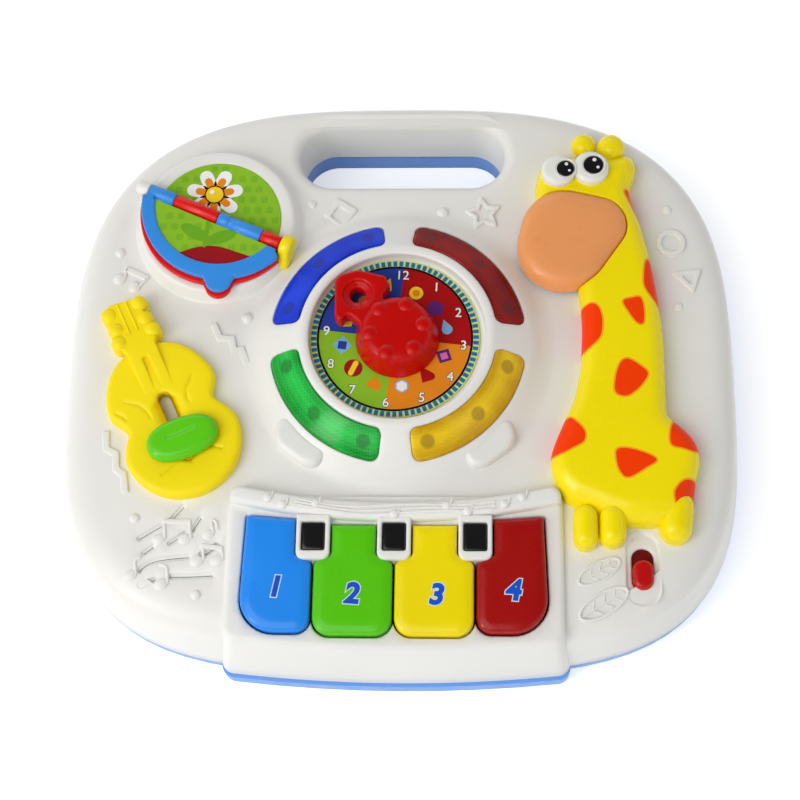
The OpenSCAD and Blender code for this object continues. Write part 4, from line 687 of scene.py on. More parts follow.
shoulderRise = [(0.7, 14.0), (0.25, 14.1), (0.0, 14.6), (1.1, 21), (2.9, 31), (4.4, 39)]
shoulderBend = bezier((4.5, 40), (5.8, 47.5), (10.5, 52), (shell["shoulderStart"], 52), np.linspace(0, 1, 12))
sides = loft([at(rimLoop(inset), z) for inset, z in np.r_[shoulderRise, shoulderBend]])
middle = np.array([sides[0][list(f)].mean(0) for f in sides[1]])
bayCut = (np.abs(middle[:, 0]) < 85) & (middle[:, 1] < -100)
sides = (sides[0], [f for f, cut in zip(sides[1], bayCut) if not cut], [0] * int((~bayCut).sum()))

handleX, handleY, handleL, handleD = shell["handle"]
handleR = shell["handleRound"]


def switchLoop(size, grow=0):
    return stadiumLoop(*shell["switch"], size[0] + grow, size[1] + grow, 90, 20)


recessLoop, windowLoop = switchLoop(shell["recess"]), switchLoop(shell["window"])
soundLines = [[(-133.6, -97.1), (-122.4, -90.0)], [(-117.6, -87.0), (-111.5, -79.7)],
              [(-105.8, -92.4), (-102.1, -85.7)], [(-130.7, -105.0), (-126.1, -101.6)],
              [(-117.4, -99.4), (-109.7, -94.2)],
              [(-132.8, -114.8), (-129.4, -111.5), (-124.0, -109.0), (-114.9, -107.5), (-107.3, -106.9)],
              [(-131.5, -122.2), (-124.2, -119.1)], [(-116.7, -117.4), (-106.3, -117.3), (-94.4, -116.6)],
              [(-100.6, -105.4), (-97.4, -104.6), (-92.9, -100.4)]]
bayHole = np.array([(-86, -84), (-86, -170), (86, -170), (86, -84)], float)
deckHoles = [stadiumLoop(handleX, handleY, handleL + 2 * handleR, handleD + 2 * handleR, 0, 40),
             circleLoop(*shell["dial"], shell["domeFoot"], 192),
             circleLoop(*shell["book"], shell["seatFoot"], 128), switchLoop(shell["recess"], 4.4),
             bayHole] + [strokeLoop(line, 1.9) for line in soundLines]
deckSkin = skin([rimLoop(shell["shoulderStart"])], flatLift(deck), 7, holes=deckHoles)


def rimRings(inner, outer, r, low):
    rings = [at(inner, low), at(inner, deck - r)]
    for a in np.linspace(0, 90, 9)[1:]:
        t = 1 - math.cos(math.radians(a))
        rings.append(at(inner + (outer - inner) * t, deck - r + r * math.sin(math.radians(a))))
    return rings


handleHole = stadiumLoop(handleX, handleY, handleL, handleD, 0, 40)
handleRim = flipped(loft(rimRings(handleHole, deckHoles[0], handleR, 13.5)))
recessDip = ((0, 1.5), (0.7, 1.44), (1.4, 1.2), (2.1, 0.8), (2.9, 0.35), (3.7, 0.08), (4.4, 0))
recessRim = flipped(loft([at(switchLoop(shell["recess"], grow), deck - depth) for grow, depth in recessDip]))
soundDip = ((0.15, 1.75), (0.7, 1.65), (1.15, 1.35), (1.45, 0.8), (1.6, 0.35), (1.75, 0.08), (1.9, 0))
soundDips = [flipped(loft([at(strokeLoop(line, half), deck - depth) for half, depth in soundDip]))
             for line in soundLines]
windowEdge = edgesOf([windowLoop], [])
recessFloor = skin([recessLoop],
                   lambda p, d, s: np.c_[p, deck - 1.5 - rollOff(distanceTo(p, windowEdge), 0.6)],
                   2.5, depths=(0.1, 0.3, 0.6), holes=[windowLoop])
windowWall = flipped(loft([at(windowLoop, 47.5), at(windowLoop, deck - 2.1)]))

domeProfile = [(86, 52), (84, 52.12), (82, 52.6), (79.6, 53.4), (77.3, 54.6), (75.4, 55.9), (73.6, 57.25),
               (71.5, 58.75)]
ringProfile = [(52.6, 69.85), (51.6, 70.35), (50.3, 70.6), (48.9, 70.55), (47.8, 70.2), (47.3, 69.6),
               (47.2, 68.8), (47.2, 67.8), (47.2, 62.2), (46.8, 62.0), (20, 62.0)]
domeSteps = 192
domeOuter = lathe(domeProfile, *shell["dial"], domeSteps)
domeInner = lathe(ringProfile, *shell["dial"], domeSteps)
coneA, coneB = domeProfile[-1], ringProfile[0]


def coneZ(r):
    return coneA[1] + (coneA[0] - r) / (coneA[0] - coneB[0]) * (coneB[1] - coneA[1])


lens = {"inner": 53.2, "outer": 68.9, "span": 74.2, "corner": 4.2, "gap": 0.22, "proud": 1.0, "edge": 1.3}
lensMid = (lens["inner"] + lens["outer"]) / 2


def lensLoop(grow, corner):
    # in unrolled coordinates: x is the length along the middle radius, y the radius
    half = math.radians(lens["span"] / 2) * lensMid + grow
    lo, hi = lens["inner"] - grow, lens["outer"] + grow
    loop = roundedLoop([(-half, lo, corner), (half, lo, corner), (half, hi, corner), (-half, hi, corner)], 8)
    return evenly(loop, 1.0)


def onCone(p, z, quadrant):
    a = math.radians(45 + 90 * quadrant) - p[:, 0] / lensMid
    return np.c_[shell["dial"][0] + p[:, 1] * np.cos(a), shell["dial"][1] + p[:, 1] * np.sin(a), z]


def conePatch(quadrant):
    n = domeSteps // 4
    half = math.pi / 4 * lensMid
    xs = np.linspace(-half, half, n + 1)
    rs = np.linspace(coneB[0], coneA[0], 8)[1:-1]
    outer = np.r_[np.c_[xs, np.full(n + 1, coneB[0])], np.c_[np.full(6, half), rs],
                  np.c_[xs[::-1], np.full(n + 1, coneA[0])], np.c_[np.full(6, -half), rs[::-1]]]
    hole = lensLoop(lens["gap"], lens["corner"])
    edge = edgesOf([hole], [])

    def lift(p, d, s):
        return onCone(p, coneZ(p[:, 1]) - rollOff(distanceTo(p, edge), 0.5), quadrant)
    form = skin([outer], lift, 2.6, depths=(0.08, 0.25, 0.5), holes=[hole])
    wall = loft([onCone(hole, coneZ(hole[:, 1]) - 4, quadrant),
                 onCone(hole, coneZ(hole[:, 1]) - 0.5, quadrant)])
    return join(form, flipped(wall))


def lensForm(quadrant):
    loop = lensLoop(0, lens["corner"] - 0.2)

    def lift(p, d, s):
        z = coneZ(p[:, 1]) + lens["proud"] - rollOff(d, lens["edge"])
        return onCone(p, z, quadrant)

    def wall(q, p):
        return np.c_[q[:, :2], q[:, 2] - 4]
    return skin([loop], lift, 2.2, edgeRows(lens["edge"], (20, 40, 65, 90)), wallTo=wall)


seatProfile = [(47, 52), (46.4, 52.15), (45.7, 52.7), (45.1, 53.6), (44.5, 55.0), (43.9, 56.9), (43.3, 58.4),
               (42.6, 59.4), (41.7, 59.95), (40.6, 60.0), (35.9, 60.0), (35.6, 59.9), (35.5, 59.6),
               (35.2, 59.6), (0, 59.6)]
bookSeat = lathe(seatProfile, *shell["book"], 128)
domePatches = [conePatch(q) for q in range(4)]
shellPiece("topSkin", [sides, deckSkin, handleRim, recessRim, recessFloor, windowWall, domeOuter, domeInner,
                       bookSeat, *soundDips, *domePatches], ["top_casing"], 0.02)
print("casing skin done")


# Piano: housing, bar with its stave, tongues, inserts and four keys

piano = {"halfLow": 92, "halfEdge": 87.5, "frontLow": 164.5, "frontEdge": 156.5, "bow": 4.5, "corner": 7,
         "edgeZ": 53, "shelf": 56, "round": 3, "rear": -75, "bar": (-79, -89, 10, 86.5), "barTop": 62,
         "barCorner": 6.8, "pitch": 41.9, "keyTop": 60.5, "keyBase": 50, "keyEdge": 2.2, "keyDrop": 0.7,
         "tongueTop": 61.6}


def bayLoop(half, front):
    c = piano["corner"]
    xs = np.linspace(-(half - c), half - c, 41)
    bow = np.c_[xs, -front + piano["bow"] * (xs / (half - c)) ** 2]
    y = piano["bow"] - front + c
    ys = np.linspace(y, piano["rear"], 14)[1:]
    right = np.c_[np.full(len(ys), float(half)), ys]
    left = np.c_[np.full(len(ys), -float(half)), ys[::-1]]
    return np.r_[bow[1:-1], arc(half - c, y, c, -90, 0, 9), right, left, arc(-(half - c), y, c, 180, 270, 9)]


def bayRings():
    rings = []
    for k in np.linspace(0, 1, 8):
        half = piano["halfLow"] + (piano["halfEdge"] - piano["halfLow"]) * k
        front = piano["frontLow"] + (piano["frontEdge"] - piano["frontLow"]) * k
        rings.append(at(bayLoop(half, front), shell["parting"] + (piano["edgeZ"] - shell["parting"]) * k))
    for a in np.linspace(0, 90, 8)[1:]:
        t = piano["round"] * (1 - math.cos(math.radians(a)))
        rings.append(at(bayLoop(piano["halfEdge"] - t, piano["frontEdge"] - t),
                        piano["edgeZ"] + piano["round"] * math.sin(math.radians(a))))
    return rings


def barY(x, front):
    rear, near, curve, half = piano["bar"]
    return (near if front else rear) + curve * (np.asarray(x) / half) ** 2


def barLoop():
    half, r = piano["bar"][3], piano["barCorner"]
    xs = np.linspace(-half, half, 45)
    a = np.radians(np.linspace(0, 90, 10))
    end = half - r + r * np.cos(a)
    right = np.c_[end, barY(end, False) - r + r * np.sin(a)]
    inner = xs[np.abs(xs) < half - r][::-1]
    near = np.c_[xs, barY(xs, True)]
    return np.r_[near, right, np.c_[inner, barY(inner, False)], (right * (-1, 1))[::-1]]


def innerKey(x, g):
    w, n, f, r = 20.35 + g, 11.45 + g, -149 - g, 9 + g
    loop = roundedLoop([(-n, -91 + g, 0), (-n, -107 - g, 2.5), (-w, -111.2 + g, 3), (-w, f, r), (w, f, r),
                        (w, -111.2 + g, 3), (n, -107 - g, 2.5), (n, -91 + g, 0)], 9)
    return evenly(loop, 1.1) + (x, 0)


def outerKey(side, g):
    x0, x1, n, f = 42.5 - g, 79.5 + g, 51.4 - g, -147.6 - g
    loop = roundedLoop([(n, -88 + g, 0), (n, -107 - g, 2.5), (x0, -111.2 + g, 3), (x0, f, 8 + g),
                        (x1, f, 18 + g), (x1 - 2.5, -86 + g, 1)], 11)
    loop = evenly(loop, 1.1)
    return loop if side > 0 else np.c_[-loop[::-1, 0], loop[::-1, 1]]


keyLoops = [lambda g: outerKey(-1, g), lambda g: innerKey(-20.95, g), lambda g: innerKey(20.95, g),
            lambda g: outerKey(1, g)]
wells = [k(0.9) for k in keyLoops]
bayTop = bayRings()
shelfEdge = bayTop[-1][:, :2]
wellEdges = edgesOf(wells, [])
shelf = skin([shelfEdge], lambda p, d, s: np.c_[p, piano["shelf"] - rollOff(distanceTo(p, wellEdges), 0.9)],
             4, depths=(0.1, 0.35, 0.9), holes=wells)


def wellWalls():
    forms = []
    for i, w in enumerate(wells):
        others = [v for j, v in enumerate(wells) if j != i]
        a, b = w, np.roll(w, -1, axis=0)
        keep = ~insideAny((a + b) / 2, others)
        pts = np.r_[at(w, 44), at(w, piano["shelf"] - 0.9)]
        n = len(w)
        faces = [(k, k + n, (k + 1) % n + n, (k + 1) % n) for k in range(n) if keep[k]]
        forms.append((pts, faces, [0] * len(faces)))
    return forms


shellPiece("pianoHousing", [loft(bayTop), shelf, *wellWalls()], weld=0.02)
barCorners = [(*q, 2.2 if i in (0, 44) else 0) for i, q in enumerate(barLoop())]
barForm = pillow([evenly(roundedLoop(barCorners), 1.5)], 51, piano["barTop"], 3.2, 3)
insert = {"y": -97.6, "halfWidth": 6.3, "halfLength": 7.75, "gap": 0.15, "corner": 1.2, "base": 54,
          "top": 60.3}
tongueForms, inserts = [], []
for x in (-piano["pitch"], 0, piano["pitch"]):
    loop = evenly(roundedLoop([(x - 8.7, -86, 0), (x - 8.7, -110, 4), (x + 8.7, -110, 4), (x + 8.7, -86, 0)],
                              8), 1)
    hole = evenly(roundRect(x, insert["y"], insert["halfWidth"], insert["halfLength"], insert["corner"]), 0.9)
    tongueForms.append(pillow([loop], 45, piano["tongueTop"], 1.1, 1.6, holes=[hole]))
    halfX, halfY = insert["halfWidth"] - insert["gap"], insert["halfLength"] - insert["gap"]
    loop = evenly(roundRect(x, insert["y"], halfX, halfY, 1), 0.9)
    inserts.append(pillow([loop], insert["base"], insert["top"], 1.0, 1.6, crown=0.5, crownWidth=6))
shellPiece("pianoBar", [barForm, *tongueForms], weld=0.01)


stave = {"half": 52, "lines": (-1.7, 0.2, 2.1), "wave": 0.9, "thick": 0.62, "head": 2.3,
         "notes": [(-66, 0.6), (-58, -1.8), (-41, 1.2), (0, -2.2), (27, 1.4), (38, -2.4), (57, -1.0),
                   (66, 1.4)]}


def staveForms():
    forms = []
    z = piano["barTop"] + 0.1
    xs = np.linspace(-stave["half"], stave["half"], 90)
    for k, off in enumerate(stave["lines"]):
        ys = (barY(xs, True) + barY(xs, False)) / 2 + off + stave["wave"] * np.sin(xs / 11 + k * 0.5)
        forms.append(tube(at(np.c_[xs, ys], z), stave["thick"], 8))
    for x, off in stave["notes"]:
        y = float(barY(x, True) + barY(x, False)) / 2 + off
        forms.append(ball(x, y, z, stave["head"], 24, 0.6))
        forms.append(tube([(x + 2.0, y, piano["barTop"] + 0.3), (x + 2.7, y + 3.4, piano["barTop"] + 0.2)],
                          0.6, 8))
    return forms


shellPiece("barStave", staveForms())
piece("blackInserts", join(*inserts), "casing", [finish["black"]], ["black_keys"], weld=0.01)


def keyForm(loop):  # a broad soft shoulder inside the rounded edge
    e = piano["keyEdge"]

    def lift(p, d, s):
        return np.c_[p, piano["keyTop"] - rollOff(d, e)
                     - piano["keyDrop"] * (1 - softStep((d - e * 0.5) / 4.2))]
    return skin([loop], lift, 2.2, edgeRows(e) + [3.1, 4.0, 5.0], wallTo=flatWall(piano["keyBase"]))


keyRows = zip(keyLoops, keyTones, ("key_blue", "key_green", "key_yellow", "key_red"),
              ((-60, -124.4), (-21.0, -127.6), (22.3, -128.0), (61.5, -125.4)))
for i, (keyLoop, tone, slot, (x, y)) in enumerate(keyRows, 1):
    key = "key_%d" % i
    piece(key + "_cap", keyForm(keyLoop(0)), key + "_body", [finish[tone]], [key], weld=0.01)
    number = [inked(lettering(str(i), x, y, piano["keyTop"] + lift, 15, -4, weight, 0.12), ink)
              for ink, (lift, weight) in enumerate(((0.03, 1.15), (0.06, 0.62)))]
    piece(key + "_number", join(*number), key + "_body", [finish["letterPale"], finish["letterBlue"]],
          flat=True)
print("piano done")


# Dial: printed plate, lenses with the lamps under them, and the knob with its rocket

dial = {"plate": 45.6, "plateShift": (-1.4, 0.8), "plateTop": 63.05, "line": (40.7, 41.9),
        "dash": (42.0, 45.0), "turn": -6.5, "numbers": 37, "numberSize": 7.4, "dashes": 84, "markSize": 1.25}
dialX, dialY = shell["dial"]
printX, printY = dialX + dial["plateShift"][0], dialY + dial["plateShift"][1]


def fan(r0, r1, a0, a1, z, n=12):  # angles clockwise from the top of the dial
    a = np.radians(90 - np.linspace(a0, a1, n + 1) + dial["turn"])
    pts = np.concatenate([np.c_[printX + r * np.cos(a), printY + r * np.sin(a)] for r in (r0, r1)])
    return at(pts, z), [(i, i + 1, i + 2 + n, i + 1 + n) for i in range(n)], [0] * n


def flatShape(loop, x, y, z, size=1.0, turn=0.0):
    p = turnLoop(np.asarray(loop, float) * size, turn, x, y)
    made = delaunay_2d_cdt([Vector(q) for q in p], [(i, (i + 1) % len(p)) for i in range(len(p))], [], 1,
                           1e-5, False)
    pts = np.array([tuple(v) + (z,) for v in made[0]])
    return pts, [tuple(f) for f in made[2]], [0] * len(made[2])


def dialPlace(hour, r):
    a = math.radians(90 - hour * 30 + dial["turn"])
    return printX + r * math.cos(a), printY + r * math.sin(a)


def starLoop(r, points=5, inner=0.45):
    a = np.radians(90 + np.arange(points * 2) * 180 / points)
    k = np.where(np.arange(points * 2) % 2 == 0, r, r * inner)
    return np.c_[k * np.cos(a), k * np.sin(a)]


def dropLoop(r):
    return np.r_[arc(0, 0, r, 160, 380, 14), [(0, r * 2.1)]]


def heartLoop(r):
    t = np.linspace(0, 2 * np.pi, 28, endpoint=False)
    return np.c_[16 * np.sin(t) ** 3, 13 * np.cos(t) - 5 * np.cos(2 * t) - 2 * np.cos(3 * t)
                 - np.cos(4 * t)] * r / 16


inkOrder = ["inkDashPale", "inkDash", "inkBlack", "inkBlue", "inkRed", "inkOrange", "inkGreen", "inkWhite",
            "inkYellow", "inkPurple", "inkPink", "inkSky", "inkLeaf", "inkMaroon"]
inkNumber = {name: i for i, name in enumerate(inkOrder)}
inkSet = [finish[name] for name in inkOrder]


def dialForms():
    top = dial["plateTop"]
    r = dial["plate"]
    forms = [lathe([(r, 62.1), (r, 62.85), (r - 0.15, top), (0, top)], printX, printY, 128)]
    line, dash = dial["line"], dial["dash"]
    step = 360 / dial["dashes"]
    for i in range(dial["dashes"]):
        forms.append(inked(fan(*dash, i * step, i * step + step * 0.66, top + 0.03, 3), inkNumber["inkDash"]))
    forms.append(inked(fan(*line, 0, 360, top + 0.03, 120), inkNumber["inkBlack"]))
    for k, name in enumerate(("inkRed", "inkOrange", "inkGreen", "inkBlue")):
        forms.append(inked(fan(0.5, line[0], 90 * k, 90 * k + 90, top + 0.03, 24), inkNumber[name]))
    size = dial["numberSize"]
    for hour in range(1, 13):
        x, y = dialPlace(hour, dial["numbers"])
        forms.append(inked(lettering(str(hour), x, y, top + 0.06, size, -2, 0.36), inkNumber["inkBlack"]))
        forms.append(inked(lettering(str(hour), x, y, top + 0.09, size, -2, 0.08), inkNumber["inkWhite"]))
    square, disc = [(-1, -1), (1, -1), (1, 1), (-1, 1)], circleLoop(0, 0, 1, 24)
    heart, drop = heartLoop(1), dropLoop(1)
    marks = [(0.55, 28.4, disc, 3.0, 0, "inkYellow"), (0.55, 28.4, disc, 1.6, 0, "inkOrange"),
             (1.5, 27.4, starLoop(1), 4.0, 12, "inkPurple"), (2.45, 28.4, drop, 2.3, 20, "inkSky"),
             (3.5, 28.4, square, 2.7, 18, "inkPurple"), (3.5, 28.4, square, 1.5, 18, "inkPink"),
             (4.5, 27.9, heart, 3.4, -30, "inkRed"), (5.5, 27.9, disc, 2.9, 0, "inkSky"),
             (5.5, 27.9, starLoop(1, 6, 0.5), 2.5, 0, "inkWhite"), (6.5, 28.4, heart, 3.2, 160, "inkOrange"),
             (7.5, 27.9, circleLoop(0, 0, 1, 28), 4.0, 0, "inkMaroon"),
             (7.5, 27.9, stadiumLoop(0, 0, 2, 0.62, 65, 8), 3.7, 0, "inkYellow"),
             (8.5, 28.4, square, 3.0, 38, "inkSky"), (8.5, 28.4, starLoop(1, 4, 0.4), 2.6, 38, "inkBlue"),
             (9.5, 28.4, starLoop(1), 3.8, 0, "inkYellow"), (10.5, 26.4, disc, 3.2, 0, "inkOrange"),
             (11.45, 29.4, drop, 2.4, -20, "inkYellow")]
    for k, (hour, r, loop, s, turn, name) in enumerate(marks):
        x, y = dialPlace(hour, r)
        forms.append(inked(flatShape(loop, x, y, top + 0.06 + 0.004 * (k % 3), s * dial["markSize"], turn),
                           inkNumber[name]))
    return forms


piece("dialPlate", join(*dialForms()), "casing", inkSet, ["dial_plate"], flat=True)

for quadrant, colour in enumerate(("red", "blue", "green", "amber")):
    node = "lens_" + colour
    piece(node + "_cover", lensForm(quadrant), "casing", [finish["lens" + colour.title()]], [node],
          weld=0.01)

knob = {"bumpRing": 14.2, "bumpTurn": 10, "rocketBase": 66.5, "rocketTop": 76,
        "hole": (-21.2, 32.2, 4.4), "recess": 7.6, "recessDepth": 2.2}
knobProfile = [(19, 63.5), (22.1, 63.5), (22.4, 63.75), (22.5, 64.3), (22.3, 65.1), (22.0, 66.2), (21.4, 68),
               (20.6, 70.4), (19.9, 72.6), (19.3, 74.4), (19.0, 75.4), (18.6, 76.3), (18.1, 77.1),
               (17.4, 77.8), (16.5, 78.3), (15.4, 78.65), (14.0, 78.85), (11, 79.05), (6, 79.2), (0, 79.25)]
rocketCorners = [(-33.6, 42.6, 5.5), (-21.8, 46.6, 5), (-6.4, 42.8, 1.6), (-4.0, 37.6, 1.6),
                 (-8.2, 30.6, 2.5), (2, 20, 0), (-14, 4, 0), (-20.4, 15.6, 2.2), (-26.3, 21.0, 2),
                 (-29.9, 15.8, 1.6), (-33.2, 19.4, 2), (-33.4, 30.2, 4)]


def rocketForm():
    hx, hy, hr = knob["hole"]
    outline = evenly(roundedLoop(rocketCorners, 7), 0.9)
    hole, lip = circleLoop(hx, hy, hr, 48), circleLoop(hx, hy, hr + 0.5, 48)
    foot, bend, rim = (circleLoop(hx, hy, knob["recess"] - inset, 72) for inset in (0.8, 0.35, 0))
    top, low = knob["rocketTop"], knob["rocketTop"] - knob["recessDepth"]
    body = pillow([outline], knob["rocketBase"], top, 1.7, 1.9, holes=[rim], crown=0.35, crownWidth=8)
    well = flipped(loft([at(hole, knob["rocketBase"]), at(hole, low - 0.5), at(lip, low)]))
    floor = skin([foot], flatLift(low), 1.6, holes=[lip])
    cup = flipped(loft([at(foot, low), at(bend, low + 0.35), at(rim, top - 1.7)]))
    return join(body, well, floor, cup)


bumps = []
for i in range(6):
    a = math.radians(knob["bumpTurn"] + 60 * i)
    bumps.append(ball(dialX + knob["bumpRing"] * math.cos(a), dialY + knob["bumpRing"] * math.sin(a), 77.6,
                      4.9, 32, 0.5))
knobTop = join(lathe(knobProfile, dialX, dialY, 128), *bumps)
piece("knobTop", knobTop, "dial", [finish["knob"]], ["dial_knob"], weld=0.005)
piece("knobRocket", rocketForm(), "dial", [finish["knob"]], weld=0.005)
print("dial done")


# Picture book: seat with its print, two round pages on a hinge

book = {"turn": -24, "hinge": 63.85, "thick": 3, "end": 39.7, "bar": -4.5, "card": -4.3, "knuckle": 3.9,
        "waist": (7.6, 11.2), "blue": [(-41, -25.3), (1.8, 28)], "red": [(-25, 1.5), (28.3, 39.4)],
        "edge": 0.9, "blueRim": (0.6, 8.5, 45.6), "redRim": (0.3, 5.6, 45.2), "opening": (-0.7, 8.0, 36.6),
        "blueTab": (18.5, -33.7, 7.2), "redTab": (19.2, -35.9, 7.2), "plate": 35.3}
bookX, bookY = shell["book"]


def onBook(loop):
    return turnLoop(loop, book["turn"], bookX, bookY)


def arcAt(circle, y, side):  # the angle at which a circle meets the line at y
    x0, y0, r = circle
    a = math.degrees(math.asin((y - y0) / r))
    return a if side > 0 else 180 - a


def pageOutline(rim, tab, spans):
    # a ring left open along the hinge, tucked under its own knuckles, with a webbed tab
    bar, end, inner = book["bar"], book["end"], book["opening"]
    free = -9.6  # below this the bracket leaves room for the whole rim
    outer = arc(*rim, arcAt(rim, bar, -1), arcAt(rim, free, 1) + 360, 120)
    hole = arc(*inner, arcAt(inner, bar, 1) + 360, arcAt(inner, bar, -1), 100)
    if spans[-1][1] > 30:  # the red page has its end knuckle on the right, the blue one on the left
        right = [(end + 1.4, -7.6, 1.0), (39.3, bar - 1.6, 0.3), (39.3, bar, 0), (39.3, -1.5, 0.4),
                 (35, -1.5, 0.4), (35, bar, 0)]
        left = []
    else:
        right = [(end + 1.4, -6.9, 1.5), (end - 0.2, bar - 1.6, 0.5), (end - 0.2, bar, 0.8)]
        left = [(-36.4, bar, 0), (-36.4, -1.5, 0.4), (-41, -1.5, 0.4), (-41, bar, 0)]
    corners = [(*q, 0) for q in outer] + right + [(*q, 0) for q in hole] + left
    x, y, r = tab
    away = math.atan2(y - rim[1], x - rim[0])

    def around(cx, cy, reach, t):
        return cx + reach * math.cos(away + t), cy + reach * math.sin(away + t)
    web = [around(rim[0], rim[1], rim[2] - 1, -0.21), around(x, y, r, -1.35), around(x, y, r, 1.35),
           around(rim[0], rim[1], rim[2] - 1, 0.21)]
    return [evenly(onBook(roundedLoop(corners)), 0.9), onBook(circleLoop(x, y, r, 48)),
            evenly(onBook(web), 0.9)]


def pageHole():
    inner, y = book["opening"], book["card"]
    loop = arc(inner[0], inner[1], inner[2] + 0.4, arcAt(inner, y, -1), arcAt(inner, y, 1) + 360, 72)
    return evenly(onBook(loop), 1.0)


def barrel(spans):
    forms = []
    k = book["knuckle"]
    for s0, s1 in spans:
        length = s1 - s0
        profile = [(1.5, 0), (k - 0.6, 0), (k - 0.25, 0.12), (k, 0.6)]
        if s0 < book["waist"][0] < s1:  # a shallow waist in the long knuckle
            w0, w1 = book["waist"][0] - s0, book["waist"][1] - s0
            profile += [(k, w0 - 0.3), (k - 0.12, w0), (k - 0.45, w0 + 0.15)]
            profile += [(k - 0.45, w1 - 0.15), (k - 0.12, w1), (k, w1 + 0.3)]
        profile += [(k, length - 0.6), (k - 0.25, length - 0.12), (k - 0.6, length), (1.5, length)]
        forms.append(bar(*at(onBook([(s0, 0), (s1, 0)]), book["hinge"]), profile))
    return forms


def hingeStrip(spans, base, top):
    forms = []
    for s0, s1 in spans:
        front = book["card"] - 0.1
        loop = onBook([(s0 + 0.1, front), (s1 - 0.1, front), (s1 - 0.1, -1.5), (s0 + 0.1, -1.5)])
        pts = np.r_[at(loop, base), at(loop, top)]
        forms.append((pts, [(4, 5, 6, 7), (3, 2, 1, 0), (0, 1, 5, 4), (1, 2, 6, 5), (2, 3, 7, 6),
                            (3, 0, 4, 7)], [0] * 6))
    return forms


def pageForm(lift, rim, tab, spans):
    base = book["hinge"] + lift
    ring = pillow(pageOutline(rim, tab, spans), base + book["edge"], base + book["thick"], book["edge"], 2.2)
    under = ring[0].copy()
    under[:, 2] = 2 * base + book["thick"] - under[:, 2]
    return join(ring, flipped((under, *ring[1:])), *hingeStrip(spans, base + 0.9, base + 1.9), *barrel(spans))


picture = {"squares": (6.4, 3.9, 1.1), "hill": (-27.5, 9.5, 24), "flower": (-2.3, 16),
           "petals": [(9.5, 7.6), (7.5, 4.2)], "middle": (5.6, 4.9)}


def squaresOver(loop):
    # rounded squares in rows across the picture, kept where they lie wholly inside it
    pitch, size, corner = picture["squares"]
    loops = []
    for i in range(-9, 10):
        for j in range(-9, 10):
            x, y = bookX + i * pitch + (j % 2) * pitch / 2, bookY + j * pitch
            square = roundRect(x, y, size / 2, size / 2, corner, 4)
            if insideLoop(square, loop).all():
                loops.append(square)
    return loops


def petals(x, y, r, n, size, turn=0):
    turns = [turn + 360 * k / n for k in range(n)]
    return [stadiumLoop(x + r * math.cos(math.radians(a)), y + r * math.sin(math.radians(a)),
                        size * 1.7, size, a, 8) for a in turns]


pictureInk = ["inkGreen", "inkLeaf", "inkMaroon", "inkWhite", "inkOrange", "inkBlack", "inkYellow", "inkMoss"]
pictureSet = [finish[name] for name in pictureInk]


def pictureForm(loop, base, top):
    n = len(loop)
    pts = np.r_[at(loop, base), at(loop, top)]
    sides = [(k, (k + 1) % n, (k + 1) % n + n, k + n) for k in range(n)]
    return pts, sides + [tuple(range(n, 2 * n)), tuple(reversed(range(n)))], [0] * (n + 2)


def layered(loop, top):
    # print layers, a hair apart: squares, hill, then the flower with its stem and leaves
    forms = [inked(flatShape(square, 0, 0, top + 0.02), 7) for square in squaresOver(loop)]
    low, rise, spread = picture["hill"]
    xs = np.linspace(-44, 44, 90)
    ridge = np.c_[bookX + xs * 0.9 - 2, bookY + low + rise * np.exp(-((xs + 1) / spread) ** 2)]
    hill = np.r_[ridge, [(bookX + 45, bookY - 60), (bookX - 45, bookY - 60)]]
    stem = stadiumLoop(bookX - 4, bookY - 4, 30, 2.2, 84, 8)
    leafA, leafB = (leafLoop(bookX - 11, bookY - 10, 9, 3.6, 150),
                    leafLoop(bookX + 3.5, bookY - 13, 9, 3.6, 20))
    fx, fy = bookX + picture["flower"][0], bookY + picture["flower"][1]
    whites, hearts = (petals(fx, fy, r, 7, size, 12) for r, size in picture["petals"])
    ring, disc = ([circleLoop(fx, fy, r, 36)] for r in picture["middle"])
    layers = [([hill], 2, 0.04), ([stem], 1, 0.06), ([leafA], 1, 0.065), ([leafB], 1, 0.07),
              (whites, 3, 0.08), (hearts, 4, 0.1), (ring, 5, 0.12), (disc, 6, 0.14),
              ([circleLoop(fx - 1.5, fy + 1.6, 1.3, 20)], 3, 0.16)]
    for loops, number, z in layers:
        for one in loops:
            made = clipInside(one, loop)
            if made is not None:
                forms.append(inked(made(top + z), number))
    return forms


def leafLoop(x, y, length, width, turn):
    t = np.linspace(0, math.pi, 14)
    side = np.c_[-length * np.cos(t), width * np.sin(t)]
    return turnLoop(np.r_[side, (side * (1, -1))[::-1][1:-1]], turn, x, y)


def clipInside(shape, frameLoop):
    # the part of a shape inside the frame, as a flat form at any height
    shape, frameLoop = np.asarray(shape, float), np.asarray(frameLoop, float)
    plan = np.r_[shape, frameLoop]
    n, m = len(shape), len(frameLoop)
    links = [(i, (i + 1) % n) for i in range(n)] + [(n + i, n + (i + 1) % m) for i in range(m)]
    made = delaunay_2d_cdt([Vector(q) for q in plan], links, [], 0, 1e-5, False)
    p = np.array([tuple(v) for v in made[0]])
    tri = np.array(made[2], int)
    mid = p[tri].mean(1)
    keep = insideLoop(mid, shape) & insideLoop(mid, frameLoop)
    if not keep.any():
        return None
    tri = tri[keep]
    a, b, c = p[tri[:, 0]], p[tri[:, 1]], p[tri[:, 2]]
    under = np.cross(b - a, c - a) < 0
    tri[under] = tri[under][:, ::-1]
    return lambda z: (at(p, z), [tuple(t) for t in tri], [0] * len(tri))


